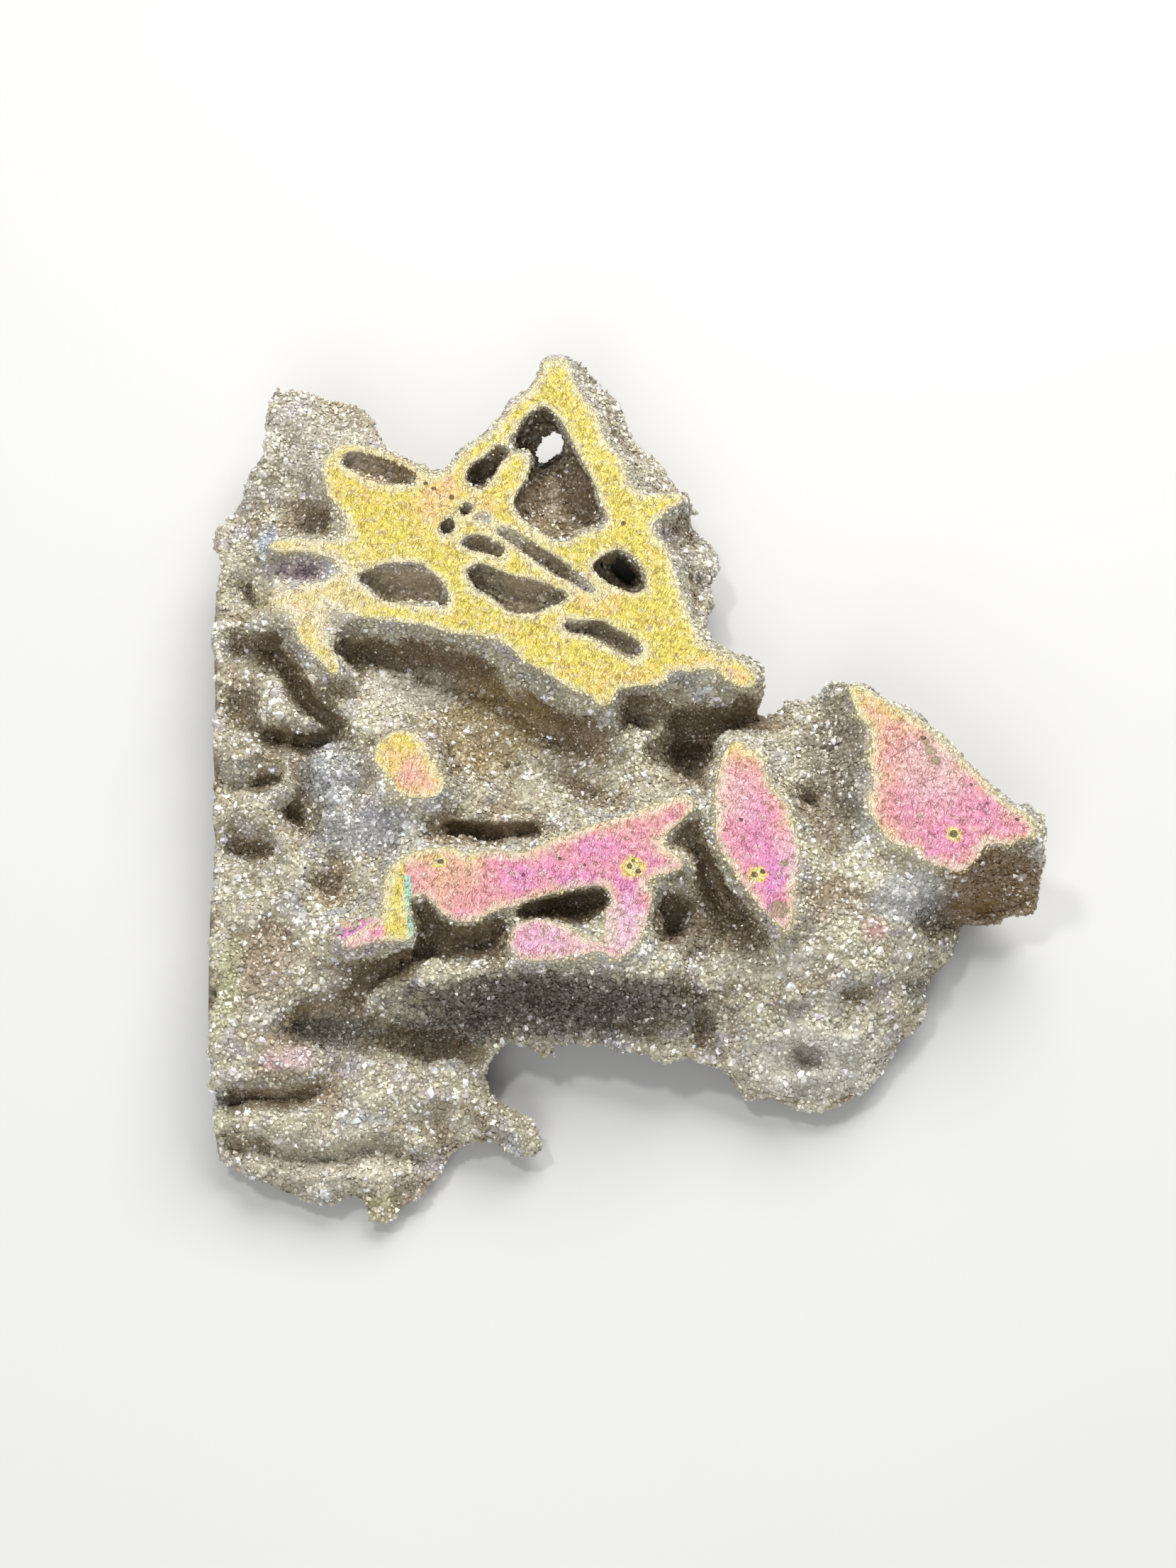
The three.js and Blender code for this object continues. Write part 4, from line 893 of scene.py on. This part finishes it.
def skin_material():
    paint = Paint(
        "coated walls and crust", IOR=1.55, Metallic=0.1, Subsurface_Weight=0.3, Subsurface_Scale=0.001,
        Subsurface_Radius=(1.0, 0.85, 0.6),
    )
    place = paint.place()
    uneven = paint.noise(place, 1.3, detail=4) - 0.5
    patch = paint.noise(place, 0.9, detail=4, roughness=0.7)
    sawn = paint.attribute("face_depth").rise(-0.12, 0.12).math("MAXIMUM", paint.attribute("coated"))
    windows = 1 - (nearest_spot(paint, place, WINDOWS) + uneven * 1.5).rise(0.8, 1.1)
    pits = 1 - (nearest_spot(paint, place, PITS) + uneven * 1.8).rise(0.75, 1.15)
    lines, ridge = growth_marks(paint, place)
    facet, tone = paint.facets(place, 2.2, 0.9)

    coat = marked(paint, place, film_colour(paint, place, uneven, patch), lines, windows, pits)
    base = paint.blend(sawn, crust_colour(paint, place, sawn, tone), coat)
    paint.put("Base Color", paint.blend(paint.attribute("bare"), base, banded_quartz(paint, place)))
    paint.put("Roughness", 0.36 + sawn * 0.04)
    lift = ridge.math("MINIMUM", 0.16) * 1.2 + patch * 0.2 - (pits + windows * 0.5) * 0.3
    paint.relief(lift * sawn + facet * (1 - sawn), 1.0)
    return paint.material


skin.materials.clear()
skin.materials.append(skin_material())
skin.shade_smooth()
body = bpy.data.objects.new("slab_skin", skin)
bpy.context.scene.collection.objects.link(body)
print(f"skin: a material of {len(skin.materials[0].node_tree.nodes)} nodes")

# %% [markdown]
# ## A flat map of the skin
# A material can be drawn as a picture on a flat map of its piece. A map that looks down on the slab as
# the camera does gives the coated walls the most pixels. Faces that this view can't see would lie on top
# of others there, so the saw cuts and the hidden flanks get strips of their own beside it.

# %% Lay out the skin's map
BAKE_MAP = "OFBake"  # the name under which the exporter looks for a piece's own map
SEEN, SAWN, HIDDEN = 0, 1, 2
STRIPS = {SEEN: (0.0, 0.76), SAWN: (0.77, 0.83), HIDDEN: (0.84, 1.0)}  # from and to, across the map


def unit(values):
    return (values - values.min()) / np.ptp(values)


def lay_out_skin():
    """A place on the map for every corner of every face."""
    corner_point = np.zeros(len(skin.loops), int)
    skin.loops.foreach_get("vertex_index", corner_point)
    corners_each = np.zeros(len(skin.polygons), int)
    skin.polygons.foreach_get("loop_total", corners_each)
    middle, facing = np.zeros((2, len(skin.polygons), 3))
    skin.polygons.foreach_get("center", middle.ravel())
    skin.polygons.foreach_get("normal", facing.ravel())
    seen = ((EYE - middle / MM) * facing).sum(1) > 0
    first_point = corner_point[np.cumsum(corners_each) - corners_each]
    part = np.repeat(np.where(bare[first_point], SAWN, np.where(seen, SEEN, HIDDEN)), corners_each)
    depth_below = FACE_Z - z
    flat = {
        SEEN: (unit(outline[0]), unit(outline[1])),
        SAWN: (unit(x + depth_below), unit(y)),
        HIDDEN: (unit(x + depth_below * np.sign(x)), unit(y + depth_below)),
    }
    places = np.zeros((len(corner_point), 2))
    for strip, (start, end) in STRIPS.items():
        here = part == strip
        across, up = (values[corner_point[here]] for values in flat[strip])
        places[here] = np.stack([start + (end - start) * across, up], 1)
    skin.uv_layers.new(name=BAKE_MAP).data.foreach_set("uv", places.ravel())
    print(f"map: {(part == SEEN).mean():.0%} of the corners in view, {(part == HIDDEN).mean():.0%} hidden")


lay_out_skin()

# %% [markdown]
# ## The crystal points
# The crust is thousands of quartz points, most of them a little over half a millimetre wide and a few
# twice that. That is work for Geometry Nodes: spread points evenly over the skin, stand a six-sided
# crystal on each, turn and size it at random, and let nothing rise above the saw's cut. Each crystal
# carries a random number, its sparkle roll, and each facet another, its glint; the shader paints glints
# by them. The crust is made in zones from front to back, to keep every mesh small. Fewer crystals stand
# in the pockets.

# %% Say where crystals grow
ZONES = 8
SMOOTH_WALL = 0.5  # size of crystals on the smooth brown walls, beside the others

overhang = smooth(-normals[:, 1], 0.25, 0.75) * smooth(recess, 0.5, 3.0)
tight = smooth(room, 4.5, 1.5)
cover = ~on_face * ~bare * smooth(away, 0.05, 0.3) * smooth(room, 0.4, 1.2)
cover = cover * (1 - 0.5 * enclosed) + on_face * smooth(face_depth, 0.5, 0.1) * 0.45
cover = cover * (1 - 0.7 * coated)
grade = (1.0 - (1 - SMOOTH_WALL) * overhang) * (1 - 0.5 * tight) * (0.5 + 0.5 * smooth(away, 0.3, 2.0))
order = np.argsort(np.argsort(y + 500 * ~(cover > 0)))
zone = np.minimum(order * ZONES // max(1, int((cover > 0).sum())), ZONES - 1)
for name, values in {"cover": cover, "grade": grade, "zone": zone}.items():
    keep(name, values)
print(f"crystals grow on {(cover > 0).mean():.0%} of the points")


# %% [markdown]
# One crystal is enough, because the node tree turns, stretches and tints each copy. It has twelve facets
# and no more, since tens of thousands of copies will stand on the slab. Its waist is uneven, so that it
# doesn't look cut, and its root goes below the ground, so that it doesn't hang in the air on a steep wall.


# %% Model one crystal
def crystal_seed():
    """A six-sided point, a little uneven, whose root is a second point below the ground."""
    tip, waist, root = 0.46, 0.10, -0.45
    turns, reaches = (-7, 5, 3, -4, 6, -2), (0.5, 0.46, 0.52, 0.48, 0.5, 0.45)
    corners = []
    for k in range(6):
        angle = math.radians(60 * k + turns[k])
        height = waist + 0.05 * (k % 3 - 1)
        corners.append((reaches[k] * math.cos(angle), reaches[k] * math.sin(angle), height))
    faces = [(k, (k + 1) % 6, 6) for k in range(6)] + [((k + 1) % 6, k, 7) for k in range(6)]
    mesh = bpy.data.meshes.new("crystal seed")
    mesh.from_pydata([*corners, (0.08, -0.05, tip), (0, 0, root)], [], faces)
    return bpy.data.objects.new("crystal seed", mesh)


# %% [markdown]
# The crystals need a map too. Each one gets a square tile of its own, with its upper facets laid out as a
# hexagon round the tip and its lower ones folded outwards.

# %% Lay out the crystals' map
FACETS = 12
TILE_RING, TILE_EDGE = 0.40, 0.49  # reach of the waist and of the root's folded corners, in tiles


def tile_corners():
    """Where the corners of one crystal's facets lie in its tile."""

    def at(turn, reach):
        angle = math.radians(60 * turn)
        return 0.5 + reach * math.cos(angle), 0.5 + reach * math.sin(angle)

    upper = [(at(k, TILE_RING), at(k + 1, TILE_RING), (0.5, 0.5)) for k in range(6)]
    lower = [(at(k + 1, TILE_RING), at(k, TILE_RING), at(k + 0.5, TILE_EDGE)) for k in range(6)]
    return np.array(upper + lower).reshape(-1, 2)


def lay_out_crystals(mesh):
    crystals = len(mesh.polygons) // FACETS
    side = math.ceil(math.sqrt(crystals))
    number = np.repeat(np.arange(crystals), 3 * FACETS)
    tiles = np.stack([number % side, number // side], 1)
    places = (np.tile(tile_corners(), (crystals, 1)) + tiles) / side
    mesh.uv_layers.new(name=BAKE_MAP).data.foreach_set("uv", places.ravel())


# %% [markdown]
# The shader of the crystals mixes quartz grey with the brown of the hollows, partly the stone's own
# brown and partly painted shade. Near the rim the film has reached the points too, so they turn cream.
# The points with the highest sparkle roll are painted white, bluish, lilac or cream, mostly in clusters,
# and so are the few facets with the highest glint. These are painted glints: they stand in for the way a
# druse sparkles, where a facet here and there faces the light.

# %% Mix the crystals' material
# painted shade: the deep colour is the quartz's own brown, darkened further for the shade in hollows
QUARTZ_OPEN, QUARTZ_DEEP_AND_SHADED = stone(218, 211, 194), stone(176, 157, 124)
CLEAR_QUARTZ = stone(124, 113, 95)  # clear points look dark, and white grains stand out among them
STANDS_OUT = (0.93, 0.94)  # a point is painted as a glint between these sparkle rolls
FLASHES = (0.94, 0.945)  # a facet is painted as a glint between these glints
GLINTS = ((0.30, srgb(250, 244, 214)), (0.40, srgb(254, 252, 246)), (0.50, srgb(252, 250, 246)),
          (0.56, srgb(216, 226, 248)), (0.62, srgb(246, 240, 226)), (0.70, srgb(226, 212, 244)))


def crystal_material():
    paint = Paint("quartz points", IOR=1.55, Metallic=0.12)
    place = paint.place()
    tint, glint = paint.attribute("tint"), paint.attribute("glint")
    colour, hollow = quartz_colour(paint, place, QUARTZ_OPEN, QUARTZ_DEEP_AND_SHADED)
    # painted highlight: facets with a high glint are lightened a little
    colour = paint.blend(glint * 0.22, colour, stone(240, 236, 224))
    clear = paint.noise(place, 0.22, detail=2.5).rise(0.46, 0.6)
    colour = paint.blend(clear * 0.32, colour, CLEAR_QUARTZ)
    patchy = (paint.noise(place, 0.7, detail=3) - 0.5) * 2.4
    open_ground = 1 - paint.attribute("enclosed") * 0.7
    near_rim = (paint.attribute("face_depth") + patchy).rise(-1.3, -0.3) * open_ground
    rim_colour = paint.ramp(paint.attribute("film") * 0.9 + 0.08, FILM_COLOURS)
    rim_colour = paint.blend(0.4, rim_colour, coating(236, 226, 200))
    colour = paint.blend(near_rim * 0.85, colour, rim_colour)
    cluster = paint.noise(place, 0.16, detail=3.5).rise(0.42, 0.66)
    # painted glints are fewer in hollows and on dark stains, and more in the pockets
    dull = hollow * 0.08 + paint.attribute("dull") * 0.16 - paint.attribute("pocket") * 0.16
    lit = 0.2 + glint.rise(0.25, 0.75) * 0.8
    # painted glints: points with a high sparkle roll, mostly in clusters, and facets with a high glint turn
    # near-white or tinted
    bright = (tint + cluster * 0.2 + clear * 0.05 - dull).rise(*STANDS_OUT) * lit
    bright = bright.math("MAXIMUM", (glint - dull * 0.3).rise(*FLASHES) * 0.9)
    hue = paint.ramp(paint.noise(place, 0.3, detail=2) + (tint - 0.94) * 0.8, GLINTS)
    stained = paint.blend(0.55, paint.attribute("stain", "Color"), srgb(255, 250, 236))
    hue = paint.blend(paint.attribute("stained") * 0.5, hue, stained)
    paint.put("Base Color", paint.blend(bright * 0.95, colour, hue))
    paint.put("Roughness", 0.32 - bright * 0.1)
    return paint.material


# %% [markdown]
# The tree takes its sizes from named inputs, so that one tree grows every zone. Each random choice has a
# seed of its own and comes out the same each time. The copies are made real at the end, because an export
# drops instances.

# %% Build the crust's node tree
SEEDS = {
    "places": 11, "lean x": 21, "lean y": 22, "turn": 23, "size": 24, "height": 25, "breadth": 26,
    "tint": 27, "glint": 28,
}
MOST_CRYSTALS = 9e6  # to a square metre, before the spacing thins them out


class Nodes:
    """A Geometry Nodes tree, built with the same kind of call as a material."""

    def __init__(self, name):
        self.tree = bpy.data.node_groups.new(name, "GeometryNodeTree")

    def add_input(self, name, kind, default=None):
        socket = self.tree.interface.new_socket(name, in_out="INPUT", socket_type=kind)
        if default is not None:
            socket.default_value = default
        return socket.identifier

    def node(self, kind, settings=None, inputs=None):
        made = self.tree.nodes.new(kind)
        for key, value in (settings or {}).items():
            setattr(made, key, value)
        for key, value in (inputs or {}).items():
            if isinstance(value, bpy.types.NodeSocket):
                self.tree.links.new(value, made.inputs[key])
            else:
                made.inputs[key].default_value = value
        return made.outputs

    def math(self, operation, *terms):
        return self.node("ShaderNodeMath", {"operation": operation}, dict(enumerate(terms)))[0]

    def vector(self, x, y, z):
        return self.node("ShaderNodeCombineXYZ", {}, {0: x, 1: y, 2: z})[0]

    def chance(self, low, high, name):
        """A random number for each crystal or facet, always the same one."""
        inputs = {2: low, 3: high, "Seed": SEEDS[name]}
        return self.node("FunctionNodeRandomValue", {"data_type": "FLOAT"}, inputs)[1]

    def stored(self, name):
        """A number that the skin keeps at each of its points."""
        return self.node("GeometryNodeInputNamedAttribute", {"data_type": "FLOAT"}, {"Name": name})[0]

    def store(self, geometry, name, domain, value):
        settings = {"data_type": "FLOAT", "domain": domain}
        inputs = {"Geometry": geometry, "Name": name, "Value": value}
        return self.node("GeometryNodeStoreNamedAttribute", settings, inputs)[0]


def crystal_turn(tree, given, ground):
    """Upright on the skin, then leaning a little and turned at random."""
    upright = tree.node("FunctionNodeAlignRotationToVector", {"axis": "Z"}, {"Vector": ground})[0]
    other_way = tree.math("MULTIPLY", given["Tilt"], -1.0)
    lean_x, lean_y = (tree.chance(other_way, given["Tilt"], name) for name in ("lean x", "lean y"))
    twist = tree.vector(lean_x, lean_y, tree.chance(0.0, math.tau, "turn"))
    turn = tree.node("FunctionNodeEulerToRotation", {}, {"Euler": twist})[0]
    settings = {"rotation_space": "LOCAL"}
    return tree.node("FunctionNodeRotateRotation", settings, {"Rotation": upright, "Rotate By": turn})[0]


def crystal_scale(tree, given, tint):
    """Many small crystals and a few large ones. Those with a high sparkle roll, the ones most often painted
    as glints, are larger.
    """
    luck = tree.math("POWER", tree.chance(0.0, 1.0, "size"), 2.4)
    span = tree.math("SUBTRACT", given["Largest crystal"], given["Smallest crystal"])
    size = tree.math("MULTIPLY_ADD", luck, span, given["Smallest crystal"])
    size = tree.math("MULTIPLY", size, tree.stored("grade"))
    standing_out = tree.math("MULTIPLY", tree.math("GREATER_THAN", tint, 0.85), size)
    size = tree.math("MULTIPLY_ADD", standing_out, 0.15, size)
    breadth = tree.math("MULTIPLY", size, tree.chance(0.8, 1.1, "breadth"))
    height = tree.math("MULTIPLY", size, tree.chance(0.65, 1.15, "height"))
    return tree.vector(size, breadth, height)


def sawn_off(tree, given, geometry):
    """What stands above the saw's cut is pressed down to it, and what is below the ground, up."""
    x, y, z = tree.node("ShaderNodeSeparateXYZ", {}, {0: tree.node("GeometryNodeInputPosition")[0]})
    level = tree.math("MAXIMUM", tree.math("MINIMUM", z, given["Saw height"]), 0.0)
    inputs = {"Geometry": geometry, "Position": tree.vector(x, y, level)}
    return tree.node("GeometryNodeSetPosition", {}, inputs)[0]


def crust_tree(seed, material):
    tree = Nodes("druse")
    tree.tree.interface.new_socket("Geometry", in_out="INPUT", socket_type="NodeSocketGeometry")
    names = {
        "zone": tree.add_input("Zone", "NodeSocketFloat", 0.0),
        "spacing": tree.add_input("Spacing", "NodeSocketFloat", 0.0005),
        "small": tree.add_input("Smallest crystal", "NodeSocketFloat", 0.0006),
        "large": tree.add_input("Largest crystal", "NodeSocketFloat", 0.0014),
        "tilt": tree.add_input("Tilt", "NodeSocketFloat", 0.6),
        "top": tree.add_input("Saw height", "NodeSocketFloat", 0.022),
    }
    tree.tree.interface.new_socket("Geometry", in_out="OUTPUT", socket_type="NodeSocketGeometry")
    given = tree.node("NodeGroupInput")

    in_zone = tree.math("COMPARE", tree.stored("zone"), given["Zone"], 0.5)
    density = tree.math("MULTIPLY", tree.stored("cover"), in_zone)
    spread = tree.node(
        "GeometryNodeDistributePointsOnFaces",
        {"distribute_method": "POISSON"},
        {"Mesh": given["Geometry"], "Distance Min": given["Spacing"], "Density Max": MOST_CRYSTALS,
         "Density Factor": density, "Seed": SEEDS["places"]},
    )
    tint = tree.chance(0.0, 1.0, "tint")
    crystal = tree.node("GeometryNodeObjectInfo", {}, {"Object": seed})["Geometry"]
    grown = tree.node(
        "GeometryNodeInstanceOnPoints",
        {},
        {"Points": spread["Points"], "Instance": crystal, "Scale": crystal_scale(tree, given, tint),
         "Rotation": crystal_turn(tree, given, spread["Normal"])},
    )[0]
    with_sparkle_roll = tree.store(grown, "tint", "INSTANCE", tint)
    solid = tree.node("GeometryNodeRealizeInstances", {}, {"Geometry": with_sparkle_roll})[0]
    glinting = tree.store(solid, "glint", "FACE", tree.chance(0.0, 1.0, "glint"))
    sawn = sawn_off(tree, given, glinting)
    painted = tree.node("GeometryNodeSetMaterial", {}, {"Geometry": sawn, "Material": material})[0]
    tree.node("NodeGroupOutput", {}, {"Geometry": painted})
    return tree.tree, names


# %% [markdown]
# Each zone starts as a copy of the skin with the tree on it as a modifier. Its inputs are set first. Then
# the result is taken as a plain mesh, and the modifier goes.

# %% Grow the crust
CRUST = {
    "spacing": 0.47 * MM,
    "small": 0.58 * MM,
    "large": 1.35 * MM,
    "tilt": 0.6,
    "top": (FACE_Z - 0.02) * MM,
}


def grow(tree, names, number, seed):
    host = bpy.data.objects.new(f"druse_{number}", skin.copy())
    bpy.context.scene.collection.objects.link(host)
    growth = host.modifiers.new("druse", "NODES")
    growth.node_group = tree
    growth[names["zone"]] = float(number)
    for key, value in CRUST.items():
        growth[names[key]] = value
    host.update_tag()
    depsgraph = bpy.context.evaluated_depsgraph_get()
    mesh = bpy.data.meshes.new_from_object(host.evaluated_get(depsgraph))
    host.modifiers.clear()
    host.data = mesh
    lay_out_crystals(mesh)
    return host


seed = crystal_seed()
bpy.context.scene.collection.objects.link(seed)
tree, names = crust_tree(seed, crystal_material())
print(f"crust: a tree of {len(tree.nodes)} nodes")
crust = [grow(tree, names, number, seed) for number in range(ZONES)]
bpy.data.objects.remove(seed)
for piece in crust:
    print(f"{piece.name}: {len(piece.data.polygons)} faces")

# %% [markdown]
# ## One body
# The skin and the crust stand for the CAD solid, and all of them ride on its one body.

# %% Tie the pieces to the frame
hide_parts(NODE)
for piece in [body, *crust]:
    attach(piece, "root")
total = sum(len(p.vertices) - 2 for piece in [body, *crust] for p in piece.data.polygons)
print(f"{total} triangles in all")
